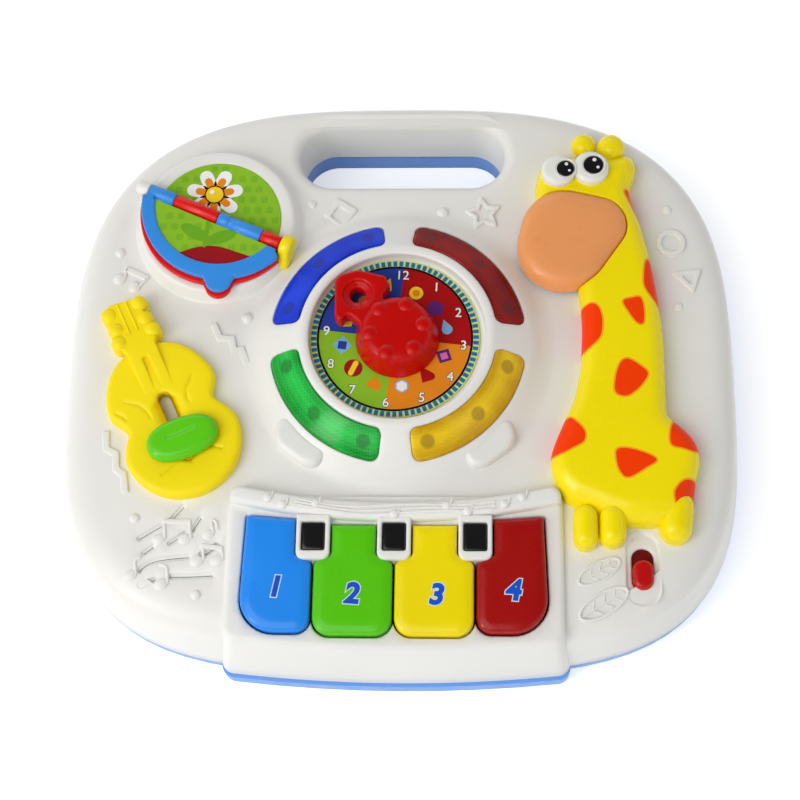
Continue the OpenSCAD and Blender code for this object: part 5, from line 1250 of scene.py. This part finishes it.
plateLoop = circleLoop(bookX, bookY, book["plate"], 128)
plateR = book["plate"]
plateForm = lathe([(plateR, 59.7), (plateR, 60.15), (plateR - 0.1, 60.2), (0, 60.2)], bookX, bookY, 128)
piece("bookPicture", join(plateForm, *layered(plateLoop, 60.2)), "casing", pictureSet,
      ["book_plate"], flat=True)
for colour, lift, slot in (("blue", 0.2, "blue_plastic"), ("red", -3.2, "page_red")):
    page = "page_" + colour
    ring = pageForm(lift, book[colour + "Rim"], book[colour + "Tab"], book[colour])
    piece(page + "_ring", ring, page, [finish["page" + colour.title()]], [page + "_frame"], weld=0.004)
    mid, cut = book["hinge"] + lift + book["thick"] / 2, pageHole()
    card = pictureForm(cut, mid - 0.5, mid + 0.5)
    piece(page + "_picture", join(card, *layered(cut, mid + 0.5)), page, pictureSet,
          [page + "_card"], flat=True)


bracket = {"start": 40.1, "thick": 7.0, "round": 2.2, "eye": 6.2,
           "feet": [(-8.4, 55.8, 1.6), (-2.6, 55.3, 1.4)]}


def bracketForm():
    # one rounded form over the rod's end, drawn down to the deck in front
    thick = bracket["thick"]
    side = evenly(hullLoop([(0, book["hinge"], bracket["eye"]), *bracket["feet"]]), 0.8)
    near = pillow([side], thick / 2, thick, bracket["round"], 0.9)
    far = flipped((near[0] * (1, 1, -1) + (0, 0, thick), *near[1:]))
    q, faces, ink = join(near, far)
    plan = onBook(np.c_[bracket["start"] + q[:, 2], q[:, 0]])
    return np.c_[plan, q[:, 1]], faces, ink


piece("hingeBracket", bracketForm(), "casing", [finish["bracket"]], ["hinge_bracket"],
      weld=0.004)
boss = bar(*at(onBook([(-48.6, 0), (-41.3, 0)]), book["hinge"]),
           [(0, 0), (3.2, 0), (3.9, 0.4), (4.1, 1), (4.1, 6.3), (3.9, 7), (3.2, 7.3), (0, 7.3)])
bossPlan = onBook([(-48.6, -4), (-43.6, -4), (-43.6, 4), (-48.6, 4)])
bossFoot = loft([at(bossPlan, 51.5), at(bossPlan, book["hinge"])])
shellPiece("hingeBoss", [boss, bossFoot], weld=0.004)
print("book done")


# Guitar: hollow-looking body, a raised neck with its groove, the head with six pegs, and the slider

guitar = {"at": (-112.5, -46.5), "turn": 115.8, "base": 51.6, "top": 59.5, "edge": 3.0, "neckHalf": 8.3,
          "neckRise": 3, "headEnd": 89.3, "slot": (10.75, 40.9, 6.4),
          "pegs": [(83.7, 8.6), (74, 8.3), (66.5, 9.6)], "peg": 4.6,
          "half": [(-29.3, 0), (-28.9, 5), (-26.5, 13), (-22, 20.4), (-15.1, 26.4), (-7, 30.3), (0, 31.7),
                   (5, 31.2), (11, 28.6), (15.5, 25.6), (18, 24.8), (20.3, 25.3), (25.2, 28.2), (29, 30.2),
                   (34.5, 30.1), (41.5, 28), (47.8, 24.8), (53.5, 20.4), (57.4, 15.5), (59.7, 9.5),
                   (60.3, 0)]}


def onGuitar(loop):
    return turnLoop(loop, guitar["turn"], *guitar["at"])


def nearPath(p, path):
    q = smoothLoop(path, 0.8, closed=False)
    return distanceTo(p, np.c_[q[:-1], q[1:]])


def engraved(p, paths, half=0.7, deep=0.5):
    d = np.min([nearPath(p, path) for path in paths], axis=0)
    return deep * (1 - softStep((d - 0.15) / (half - 0.15)))


slotMiddle, slotLength, slotWidth = guitar["slot"]
slotLoop = onGuitar(stadiumLoop(slotMiddle, 0, slotLength, slotWidth, 0, 14))
guitarLines = [[(33.1, -18.4), (30, -16.3), (27.1, -13.1), (24, -12), (20.5, -12)],
               [(34.4, 19.6), (32, 16), (29.7, 13.4), (25, 11), (20.6, 10.2)],
               [(30.3, 26.2), (27.9, 24), (25.1, 22.7)], [(-12.2, 0.2), (-9.0, 0)],
               [(-5.8, -10.4), (-8.6, -13.8), (-11.4, -17.4)], [(-8.9, 10.2), (-10.4, 13.7), (-11.6, 17.3)]]


def guitarForms():
    halfLine = guitar["half"]
    whole = halfLine + [(u, -v) for u, v in halfLine[-2:0:-1]]
    outline = onGuitar(smoothLoop(whole, 1.1))
    paths = [onGuitar(line) for line in guitarLines]
    marks = [(strokeLoop(path, half, ends=0), 0) for path in paths for half in (0.72, 0.2)]

    def lift(p, d, s):
        z = guitar["top"] - rollOff(d, guitar["edge"]) - engraved(p, paths)
        return np.c_[p, z]
    wall = flatWall(guitar["base"])
    body = skin([outline], lift, 2.4, edgeRows(guitar["edge"], (15, 30, 45, 60, 75, 90)), [slotLoop], marks,
                wall)

    def neckTop(p):
        q = turnLoop(p - guitar["at"], -guitar["turn"])
        return guitar["top"] + guitar["neckRise"] * softStep((q[:, 0] - 31) / 30)
    half = guitar["neckHalf"]
    head = [(33, -half, 0), (59, -half, 2), (62, -half - 1.6, 2), (87.2, -half - 1.2, 3),
            (guitar["headEnd"], half + 0.6, 3), (62, half + 1.6, 2), (59, half, 2), (33, half, 0)]
    headLoop = onGuitar(evenly(roundedLoop(head, 6), 1.0))
    groove = onGuitar(evenly(roundedLoop([(34, -1.7, 0.4), (53.2, -1.7, 0.8), (53.2, 1.7, 0.8),
                                          (34, 1.7, 0.4)], 4), 0.8))

    def neckLift(p, d, s):
        return np.c_[p, neckTop(p) - rollOff(d, 0.8)]

    def grooveFloor(p, d, s):
        return np.c_[p, np.maximum(neckTop(p) - 2.2, guitar["top"] - 0.4)]
    neck = skin([headLoop], neckLift, 1.7, (0.08, 0.25, 0.5, 0.8), [groove], (), wall)
    forms = [body, neck, skin([groove], grooveFloor, 1.7)]
    r, shoulder = guitar["peg"], 60.6
    cap = [(r * math.cos(math.radians(a)), shoulder + 3.6 * math.sin(math.radians(a)))
           for a in (12, 24, 36, 48, 60, 72, 82)]
    peg = [(r, guitar["base"]), (r, shoulder), *cap, (0, 64.25)]
    for u, v in guitar["pegs"]:
        forms += [lathe(peg, *onGuitar([(u, s * v)])[0], 40) for s in (-1, 1)]
    for v in (-2.4, 2.4):
        path = onGuitar([(69, v), (87.4, v)])
        forms.append(tube(np.c_[path, [62.5, 62.5]], 0.75, 12))
    return forms


guitarInner = flipped(loft([at(slotLoop, 48.5), at(slotLoop, guitar["top"])]))
piece("guitarBody", join(*guitarForms(), guitarInner), "casing", [finish["guitar"]],
      ["guitar_body"], weld=0.004)

slider = {"middle": (1.3, -0.6), "half": (19.2, 11.3), "power": 2.35, "base": 61.2, "top": 67.0, "edge": 4.2,
          "lean": -4, "groove": [(2.6, -8.7), (2.9, -1), (3.2, 6.8)]}


def sliderForm():
    a = np.linspace(0, 2 * np.pi, 120, endpoint=False)
    c, s = np.cos(a), np.sin(a)
    h, w = slider["half"]
    k = 2 / slider["power"]
    oval = np.c_[h * np.sign(c) * np.abs(c) ** k, w * np.sign(s) * np.abs(s) ** k]
    loop = onGuitar(turnLoop(evenly(oval, 1.0), 90 + slider["lean"], *slider["middle"]))
    line = onGuitar(slider["groove"])
    marks = [(strokeLoop(line, half, ends=0), 0) for half in (0.75, 0.2)]
    e, top = slider["edge"], slider["top"]

    def lift(p, d, s):
        z = top - rollOff(d, e) * 0.95 - 0.012 * (11 - np.minimum(d, 11)) - engraved(p, [line], 0.7, 0.6)
        return np.c_[p, z]
    return skin([loop], lift, 1.8, edgeRows(e, fineAngles), (), marks, flatWall(slider["base"]))


shankX, shankY = onGuitar([(0.7, 0)])[0]
shank = lathe([(2.9, 48.5), (2.9, 61.4)], shankX, shankY, 40)
piece("guitarSlider", join(sliderForm(), shank), "slider", [finish["lime"]],
      ["guitar_slider"], weld=0.004)
print("guitar done")


# Giraffe: neck and body in one puffed form with printed spots, its legs, horns, ear, eyes and snout

giraffe = {"base": 51.6, "top": 65.5, "edge": 8.5,
           "snout": [(89.2, 66.2, 24.9), (107.2, 77.8, 16.6), (89.8, 75.2, 23.2)],
           "snoutBase": 55.9, "snoutTop": 69.5, "snoutEdge": 5.6,
           "eyes": [(86.9, 109.3, 9.3, 70.5), (104.8, 110.8, 9.8, 70.8)],
           "pupils": [(90.7, 109.2, 4.8), (106.0, 111.2, 5.5)],
           "ear": [(128.0, 117.4), (126.0, 111.4), (122.6, 105.8)],
           "horns": [(101.6, 129.4, 6.8, 58.4, (103.4, 119)), (116.7, 127.6, 7.8, 58.8, (114.5, 119))],
           "legs": [((98.5, -86), (98.5, -97.0), 6.4, 64.8), ((112.7, -86), (112.6, -95.1), 6.9, 64.8),
                    ((146.3, -80), (145, -91.2), 8.6, 64.4), ((105.5, -84), (105.5, -96), 2.5, 57)]}
giraffeEdge = [(90.0, -77.9), (85.2, -71.4), (81.8, -61.9), (82.0, -50.6), (89, -32.6), (93.6, -21.6),
               (97.3, -5.6), (98.7, 10.5), (98.9, 26.9), (96.9, 43.4), (95, 60), (80, 80), (75.4, 92.6),
               (74.6, 98.6), (74.9, 104.2), (75.9, 110), (78.2, 116), (85, 120.4), (94, 121.5), (104, 121.0),
               (113, 120.6), (118, 121.0), (123.4, 122.2), (127.8, 121.2), (130.0, 116.6), (129.6, 111.4),
               (128.0, 106.2), (126.2, 100.8), (127.4, 93), (131.6, 80.6), (134.6, 68), (136.9, 55.3),
               (138.8, 43), (140, 33.8), (141.4, 21), (142.1, 9.3), (142.3, -14.7), (142.6, -29),
               (145.2, -33.2), (150.2, -37.6), (155.4, -43.6), (158.3, -51), (158.4, -58.5), (156.4, -66),
               (155.4, -73), (154.2, -79), (150.4, -84.6), (144.4, -88.6), (137, -90.3), (128, -90.6),
               (119.4, -90.0), (110, -87.2), (101, -83.4), (95, -80.6)]
spots = [
    [(92, 31), (98.4, 29.8), (103.8, 31.2), (107.4, 28.6), (109.2, 21.5), (108.4, 13.2), (105, 8.4),
     (98.7, 3.9), (92, 2)],
    [(120.6, 32.1), (125.2, 33.9), (129.9, 34.2), (131.5, 27), (130.9, 19.6), (127.6, 19.9), (123.4, 26)],
    [(118.2, -3.4), (122.0, -1.1), (127.6, -4.2), (132.3, -8.6), (130.9, -13), (126.4, -18.4),
     (120.7, -22.0), (115.2, -19.6), (115.6, -11)],
    [(134.0, 57.2), (138, 56), (144, 40), (141, 31), (137.6, 33.6), (132.6, 40.5), (132.2, 48)],
    [(123.3, 98.6), (126.6, 99.5), (131, 90), (134, 80), (129.2, 86.4), (126.2, 92.5)],
    [(78, -54), (81, -42), (89.8, -33.6), (94.6, -36.4), (98.8, -42.0), (97.9, -47.2), (92.8, -50.3),
     (86, -53.6)],
    [(115.8, -51.4), (125, -52), (135.3, -56.9), (130, -61.4), (121.0, -66.7), (116.8, -64), (114.8, -57)],
    [(144.8, -36.6), (149, -33), (160, -48), (155.8, -51.8), (149, -50.6), (143.7, -49.0), (142.9, -43.5)],
    [(144.3, -74.5), (148.8, -68.5), (154.7, -67.5), (161, -70), (160, -83), (152.5, -82.0), (145.9, -81)]]


def grown(loop, d):
    p = np.asarray(loop, float)
    t = np.roll(p, -1, axis=0) - np.roll(p, 1, axis=0)
    t /= np.linalg.norm(t, axis=1)[:, None] + 1e-9
    n = np.c_[t[:, 1], -t[:, 0]]
    area = (p[:, 0] * np.roll(p[:, 1], -1) - np.roll(p[:, 0], -1) * p[:, 1]).sum()
    return p + n * d * (1 if area > 0 else -1)


snoutLoop, snoutHole, snoutRim = (evenly(hullLoop([(x, y, r + grow) for x, y, r in giraffe["snout"]]), 1.2)
                                  for grow in (0, 0.35, 1.1))


def giraffeForm():
    outline = smoothLoop(giraffeEdge, 1.4)
    marks = []
    for spot in spots:
        loop = smoothLoop(spot, 0.9)
        marks += [(grown(loop, 0.95), 2), (loop, 1)]
    rimEdges, outEdges = edgesOf([snoutHole], []), edgesOf([outline], [])
    top, e = giraffe["top"], giraffe["edge"]

    def lift(p, d, s):
        far = distanceTo(p, outEdges)
        z = top - rollOff(far, e + 4.5 * softStep((-62 - p[:, 1]) / 14)) + 0.5 * softStep(far / 22)
        return np.c_[p, z - rollOff(distanceTo(p, rimEdges), 0.8) - engraved(p, [giraffe["ear"]], 1.8, 1.1)]

    def wall(q, p):
        inner = insideLoop(p, snoutRim)
        return np.c_[p, np.where(inner, 53.5, giraffe["base"])]
    rows = edgeRows(e, (12, 22, 32, 42, 52, 62, 74, 88)) + [10.5, 12.8]
    return skin([outline], lift, 2.6, rows, [snoutHole], marks, wall)


def legForm(a, b, r, top):
    loop = hullLoop([(*a, r), (*b, r)])
    return pillow([evenly(loop, 1.1)], giraffe["base"], top, r * 0.94, 1.5)


def hornForm(x, y, r, z, stem):
    sx, sy = stem
    path = [(sx, sy, 58.5), ((x + sx) / 2, (y + sy) / 2, 59), (x, y, z - 1)]
    return [ball(x, y, z, r, 44, 0.86), tube(path, 3.4, 24)]


giraffeParts = [giraffeForm()] + [legForm(*leg) for leg in giraffe["legs"]]
for horn in giraffe["horns"]:
    giraffeParts += hornForm(*horn)
piece("giraffeBody", join(*giraffeParts), "casing", [finish["yellow"], finish["spot"], finish["spotEdge"]],
      ["giraffe_body"], weld=0.004)


def eyeForms():
    forms = []
    for (x, y, r, top), (px, py, pr) in zip(giraffe["eyes"], giraffe["pupils"]):
        white = lathe([(r, 56), (r, top - 3.2), (r - 0.15, top - 2.2), (r - 0.6, top - 1.3),
                       (r - 1.4, top - 0.6), (r - 2.6, top - 0.15), (r - 4, top), (0, top + 0.15)], x, y, 72)
        groove = inked(lathe([(pr + 1.5, top + 0.02), (pr + 1.35, top + 0.32), (pr + 1.0, top + 0.4),
                              (pr + 0.7, top + 0.3), (pr + 0.55, top + 0.02)], px, py, 48), 0)
        pupil = inked(lathe([(pr, top), (pr - 0.05, top + 0.2), (pr - 0.5, top + 0.32), (0, top + 0.4)],
                            px, py, 48), 1)
        # painted highlights: two small white discs on each pupil stand in for glints of light
        paintedGlints = [lathe([(s, top + 0.4), (s * 0.8, top + 0.52), (0, top + 0.56)],
                        px + dx * pr, py + dy * pr, 20)
                  for dx, dy, s in ((0.12, 0.55, pr * 0.2), (0.45, -0.28, pr * 0.16))]
        forms += [white, groove, pupil] + [inked(g, 0) for g in paintedGlints]
    return forms


piece("giraffeEyes", join(*eyeForms()), "casing", [finish["eyeWhite"], finish["eyeBlack"]],
      ["giraffe_eyes"], weld=0.004)


def snoutForm():
    top, e = giraffe["snoutTop"], giraffe["snoutEdge"]

    def lift(p, d, s):
        return np.c_[p, top - rollOff(d, e) - 0.9 * (1 - softStep((d - e * 0.6) / 7))]
    return skin([snoutLoop], lift, 2.2, edgeRows(e, fineAngles) + [8, 10, 12],
                wallTo=flatWall(giraffe["snoutBase"]))


piece("giraffeSnout", snoutForm(), "snout", [finish["peach"]], ["giraffe_snout"], weld=0.004)
print("giraffe done")


# Power switch, and the raised shapes on the deck

switch = {"knob": (128, -115.2, 16, 10.9), "knobHeights": (47.5, 54.7), "flangeHeights": (47, 48.5)}
cadSlide = np.array(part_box("power_slide")) / mm
slideMid, slideSize = cadSlide.mean(0), cadSlide[1] - cadSlide[0]
flangeLoop = stadiumLoop(slideMid[0], slideMid[1], slideSize[1], slideSize[0], 90, 20)
flangeForm = pillow([flangeLoop], *switch["flangeHeights"], 0.3, 2)
knobForm = pillow([stadiumLoop(*switch["knob"], 90, 20)], *switch["knobHeights"], 2.2, 1.2, crown=0.6,
                  crownWidth=4.5)
# painted shade: the flange under the window takes the darker red, the knob the plain red
piece("powerKnob", join(flangeForm, inked(knobForm, 1)), "power_button",
      [finish["wireRedAndShadedFlange"], finish["switchRed"]], ["power_slide"], weld=0.004)


def puff(loop, holes=(), height=1.0, step=1.6, edge=0.7):
    return pillow([evenly(loop, 0.9)], deck - 1, deck + height, edge, step,
                  holes=[evenly(h, 0.8) for h in holes])


def roundStar(r, corner):
    return roundedLoop([(*q, 0.3 if i % 2 else corner) for i, q in enumerate(starLoop(r, 5, 0.5))], 4)


def boltLoop(points, half):
    p = np.asarray(points, float)
    left, right = [], []
    for i, q in enumerate(p):
        t0 = p[i] - p[i - 1] if i else p[1] - p[0]
        t1 = p[i + 1] - p[i] if i < len(p) - 1 else p[-1] - p[-2]
        t0, t1 = t0 / np.linalg.norm(t0), t1 / np.linalg.norm(t1)
        n = np.array([-(t0 + t1)[1], (t0 + t1)[0]])
        n /= np.linalg.norm(n)
        scale = half / max(0.35, abs(n @ np.array([-t0[1], t0[0]])))
        left.append(q + n * scale)
        right.append(q - n * scale)
    return np.array(left + right[::-1])


speakerNotes = {
    "heads": [(-123.5, -97.5, 3.6, 20), (-109.9, -97.4, 3.6, 20), (-102.8, -109.3, 3.9, 20),
              (-92.4, -108.8, 3.7, 20), (-120.8, -121.7, 3.8, 20), (-136.9, -116.9, 3.6, 20),
              (-97.6, -94.8, 3.4, 20)],
    "stems": [[(-120.2, -96.6), (-121.0, -87.9)], [(-106.6, -96.5), (-107.7, -87.4)],
              [(-99.3, -108.1), (-99.9, -101.0)], [(-89.1, -108.0), (-90.3, -102.2)],
              [(-117.4, -120.9), (-118.4, -112.6), (-121.8, -111.2)],
              [(-134.0, -116.1), (-135.0, -109.5), (-132.6, -107.4)],
              [(-94.8, -94.0), (-96.2, -87.0), (-93.6, -88.2), (-92.9, -91.8)]],
    "beams": [((-120.9, -87.9), (-107.8, -87.5)), ((-99.9, -101.0), (-90.4, -102.2))]}
outlineMarks = {"square": [(-35.6, 100.7), (-43.1, 89.6), (-31.9, 81.1), (-23.7, 93.1)],
                "window": [(-34.7, 95.3), (-38.9, 89.2), (-32.7, 84.6), (-28.6, 91.0)],
                "triangle": [(147.2, 54.7), (160.0, 42.2), (164.9, 57.0)],
                "gap": [(154.2, 52.4), (158.9, 47.4), (160.8, 53.8)],
                "star": (45.9, 90.6, 8, 11.6, 6.3), "ring": (148.7, 72.6, 8.1, 5.0),
                "bolts": [[(-101, 24.6), (-97.1, 15.9), (-90.6, 15.6), (-88.9, 8.2), (-84.8, 9.2),
                           (-81.4, 1.0)],
                          [(-155.4, -38), (-154.6, -48), (-149.2, -50.6), (-148.6, -59.2),
                           (-144.4, -62), (-142.6, -72.4)]],
                "leaves": [(105.5, -113.5, 30, 13), (107.5, -130.5, 32, 15)],
                "dots": [(-49.6, 96.6, 2.6), (23.4, 91.4, 3.4), (147.1, 92.7, 2.7), (151.3, 34.5, 2.6),
                         (-155.2, 67.1, 2.8), (-82.6, 27.7, 3.4), (-136.8, -86.3, 2.7),
                         (-102.2, -127.3, 2.7)],
                "noteHeads": [(-154.6, 51.2), (-145.9, 46.4)],
                "noteStrokes": [((-152.0, 51.6), (-150.4, 57.6), 0.9), ((-143.0, 47.0), (-139.4, 51.6), 0.9),
                                ((-150.6, 56.9), (-139.8, 51.9), 1.8)]}


def reliefForms():
    square, window, triangle, gap = (
        roundedLoop([(*q, corner) for q in outlineMarks[name]], 5)
        for name, corner in (("square", 0.8), ("window", 0.4), ("triangle", 0.9), ("gap", 0.4)))
    x, y, turn, *reach = outlineMarks["star"]
    star, starHole = (turnLoop(roundStar(r, corner), turn, x, y) for r, corner in zip(reach, (0.9, 0.4)))
    x, y, *reach = outlineMarks["ring"]
    ring, ringHole = (circleLoop(x, y, r, n) for r, n in zip(reach, (60, 48)))
    forms = [puff(outer, [hole], 1.5) for outer, hole in (
        (square, window), (star, starHole), (ring, ringHole), (triangle, gap))]
    forms += [puff(boltLoop(points, 1.9), height=1.4, step=1.2) for points in outlineMarks["bolts"]]
    for x, y, turn, length in outlineMarks["leaves"]:
        leaf = leafLoop(x, y, length, length * 0.42, turn)
        inner = leafLoop(x, y, length - 1.8, length * 0.42 - 1.4, turn)
        forms.append(puff(leaf, [inner], 0.9, 1.5, 0.5))
        vein = turnLoop([(-length + 2, 0), (length - 3, 0)], turn, x, y)
        forms.append(tube(at(vein, deck + 0.2), 0.6, 10))
        for k in (-0.45, 0.0, 0.4):
            for s in (-1, 1):
                rib = turnLoop([(k * length, 0), (k * length + 3.4, s * length * 0.26)], turn, x, y)
                forms.append(tube(at(rib, deck + 0.1), 0.45, 8))
    forms += [ball(x, y, deck - 0.1, r, 32, 0.72) for x, y, r in outlineMarks["dots"]]
    forms += [ball(x, y, deck + 0.1, 3.5, 28, 0.5) for x, y in outlineMarks["noteHeads"]]
    for a, b, half in outlineMarks["noteStrokes"]:
        forms.append(puff(strokeLoop([a, b], half), height=1.3, step=0.9))
    for x, y, r, turn in speakerNotes["heads"]:
        pts, faces, ink = ball(0, 0, deck, r, 28, 0.42)
        forms.append((np.c_[turnLoop(pts[:, :2] * (1, 0.8), turn, x, y), pts[:, 2]], faces, ink))
    for line in speakerNotes["stems"]:
        path = smoothLoop(line, 0.8, closed=False)
        ends = [ball(*path[k], deck + 0.15, 0.85, 14) for k in (0, -1)]
        forms += [tube(at(path, deck + 0.15), 0.85, 12)] + ends
    for a, b in speakerNotes["beams"]:
        forms.append(puff(strokeLoop([a, b], 1.3), step=0.9, edge=0.6))
    return forms


shellPiece("deckReliefs", reliefForms())
fins = {"base": 50, "top": 58.3, "edge": 3.6, "crown": 0.4, "mirror": -2}
crescentEdge = [(-59.9, -30.8), (-63.0, -33.7), (-64.7, -38.3), (-64.8, -42.9), (-62.4, -47.5),
                (-58.0, -51.4), (-53.5, -54.8), (-49.7, -57.3), (-44.8, -58.5), (-40.4, -56.8),
                (-37.0, -49.6), (-44.6, -44.0), (-51.0, -37.6), (-56.4, -31.6)]
crescents = []
for side in (1, -1):
    loop = smoothLoop(crescentEdge, 1.0)
    loop = loop if side > 0 else np.c_[fins["mirror"] - loop[::-1, 0], loop[::-1, 1]]
    crescents.append(pillow([loop], fins["base"], fins["top"], fins["edge"], 1.3, crown=fins["crown"],
                            crownWidth=5))
shellPiece("domeFins", crescents, weld=0.004)
print("reliefs done")


# Finishes of the CAD pieces that show as they are

shownFinish = {"bottom_casing": "sky", "battery_door": "sky", "door_screw": "steel",
               "battery_cells": "cellJacket", "battery_contacts": "steel", "casing_screws": "steel",
               "board_screws": "steel", "main_board": "board", "board_parts": "black", "lamp_board": "board",
               "lamps": "eyeWhite", "dial_wiper": "steel", "dial_screw": "steel", "hinge_rod": "steel",
               "slider_clip": "lime", "slider_screw": "steel", "slider_board": "board", "snout_clip": "peach",
               "snout_board": "board", "snout_pad": "rubber", "key_axle": "steel", "key_board": "board",
               "key_pads": "rubber", "power_switch": "black", "speaker": "black", "wiring": "wireRedAndShadedFlange"}
for name, node in nodes.items():
    node.data.materials.clear()
    node.data.materials.append(finish[shownFinish.get(name, "shell")])

# Floor, light and camera

studio = {"floor": (0.9, 0.9, 0.9), "floorLift": 0.5, "skyLow": 0.75, "skyHigh": 0.14, "top": 7.6,
          "left": 6.4, "right": 0.9, "back": 2.2, "eye": (42.22, -356.40, 952.36), "azimuth": 6.90,
          "elevation": 69.35, "roll": -6.34, "focal": 81}
floorMesh = bpy.data.meshes.new("floor")
floorMesh.from_pydata([(-6, -6, 0), (6, -6, 0), (6, 6, 0), (-6, 6, 0)], [], [(0, 1, 2, 3)])
floorMat, floorTree, floorShader = nodeTree("floorPale")
speckle = addNode(floorTree, "TexNoise", {"Scale": 220}).outputs["Fac"]
ray = addNode(floorTree, "LightPath", {})
seen = maths(floorTree, "MAXIMUM", ray.outputs["Is Camera Ray"], ray.outputs["Is Glossy Ray"])
floorTone = ramp(floorTree, speckle, scaled(studio["floor"], 0.985), scaled(studio["floor"], 1))
feed(floorTree, floorShader, {"Base Color": floorTone, "Roughness": 0.9, "Specular IOR Level": 0.1,
                              "Emission Color": (1, 1, 1, 1),
                              "Emission Strength": maths(floorTree, "MULTIPLY", seen, studio["floorLift"])})
floorMesh.materials.append(floorMat)
floor = bpy.data.objects.new("floor", floorMesh)
bpy.context.scene.collection.objects.link(floor)

world = bpy.data.worlds.new("studio")
bpy.context.scene.world = world
world.use_nodes = True
skyTree = world.node_tree
way = addNode(skyTree, "TexCoord", {}).outputs["Generated"]
height = addNode(skyTree, "SeparateXYZ", {"Vector": way}).outputs["Z"]
# the light is dimmer overhead
level = between(skyTree, height, 0.45, 0.85, studio["skyLow"], studio["skyHigh"], smooth=True)
feed(skyTree, skyTree.nodes["Background"], {"Color": (1, 1, 1, 1), "Strength": level})


def softbox(name, place, size, power):
    light = bpy.data.lights.new(name, "AREA")
    light.shape, light.size, light.size_y, light.energy = "RECTANGLE", size[0], size[1], power
    lamp = bpy.data.objects.new(name, light)
    lamp.location = place
    lamp.rotation_euler = (Vector((0, 0, 0.05)) - Vector(place)).to_track_quat("-Z", "Y").to_euler()
    bpy.context.scene.collection.objects.link(lamp)


softbox("topBox", (-0.5, -0.45, 1.3), (1.3, 0.9), studio["top"])
softbox("leftBox", (-1.0, -0.75, 0.95), (0.35, 0.9), studio["left"])
softbox("rightBox", (1.0, -0.75, 0.95), (0.35, 0.9), studio["right"])
softbox("backBox", (-0.5, 1.4, 0.9), (1.2, 0.5), studio["back"])

az, el, roll = (math.radians(studio[k]) for k in ("azimuth", "elevation", "roll"))
forward = Vector((-math.sin(az) * math.cos(el), math.cos(az) * math.cos(el), -math.sin(el)))
right = Vector((math.cos(az), math.sin(az), 0))
upward = right.cross(forward)
across = math.cos(roll) * right + math.sin(roll) * upward
above = -math.sin(roll) * right + math.cos(roll) * upward
camera = bpy.data.objects.new("camera", bpy.data.cameras.new("camera"))
camera.data.lens, camera.data.sensor_width, camera.data.clip_start = studio["focal"], 36, 0.05
camera.matrix_world = Matrix((across, above, -forward)).transposed().to_4x4()
camera.location = Vector(studio["eye"]) * mm
bpy.context.scene.collection.objects.link(camera)
bpy.context.scene.camera = camera
bpy.context.scene.view_settings.view_transform = "Standard"
print("studio done")

bpy.context.view_layer.update()
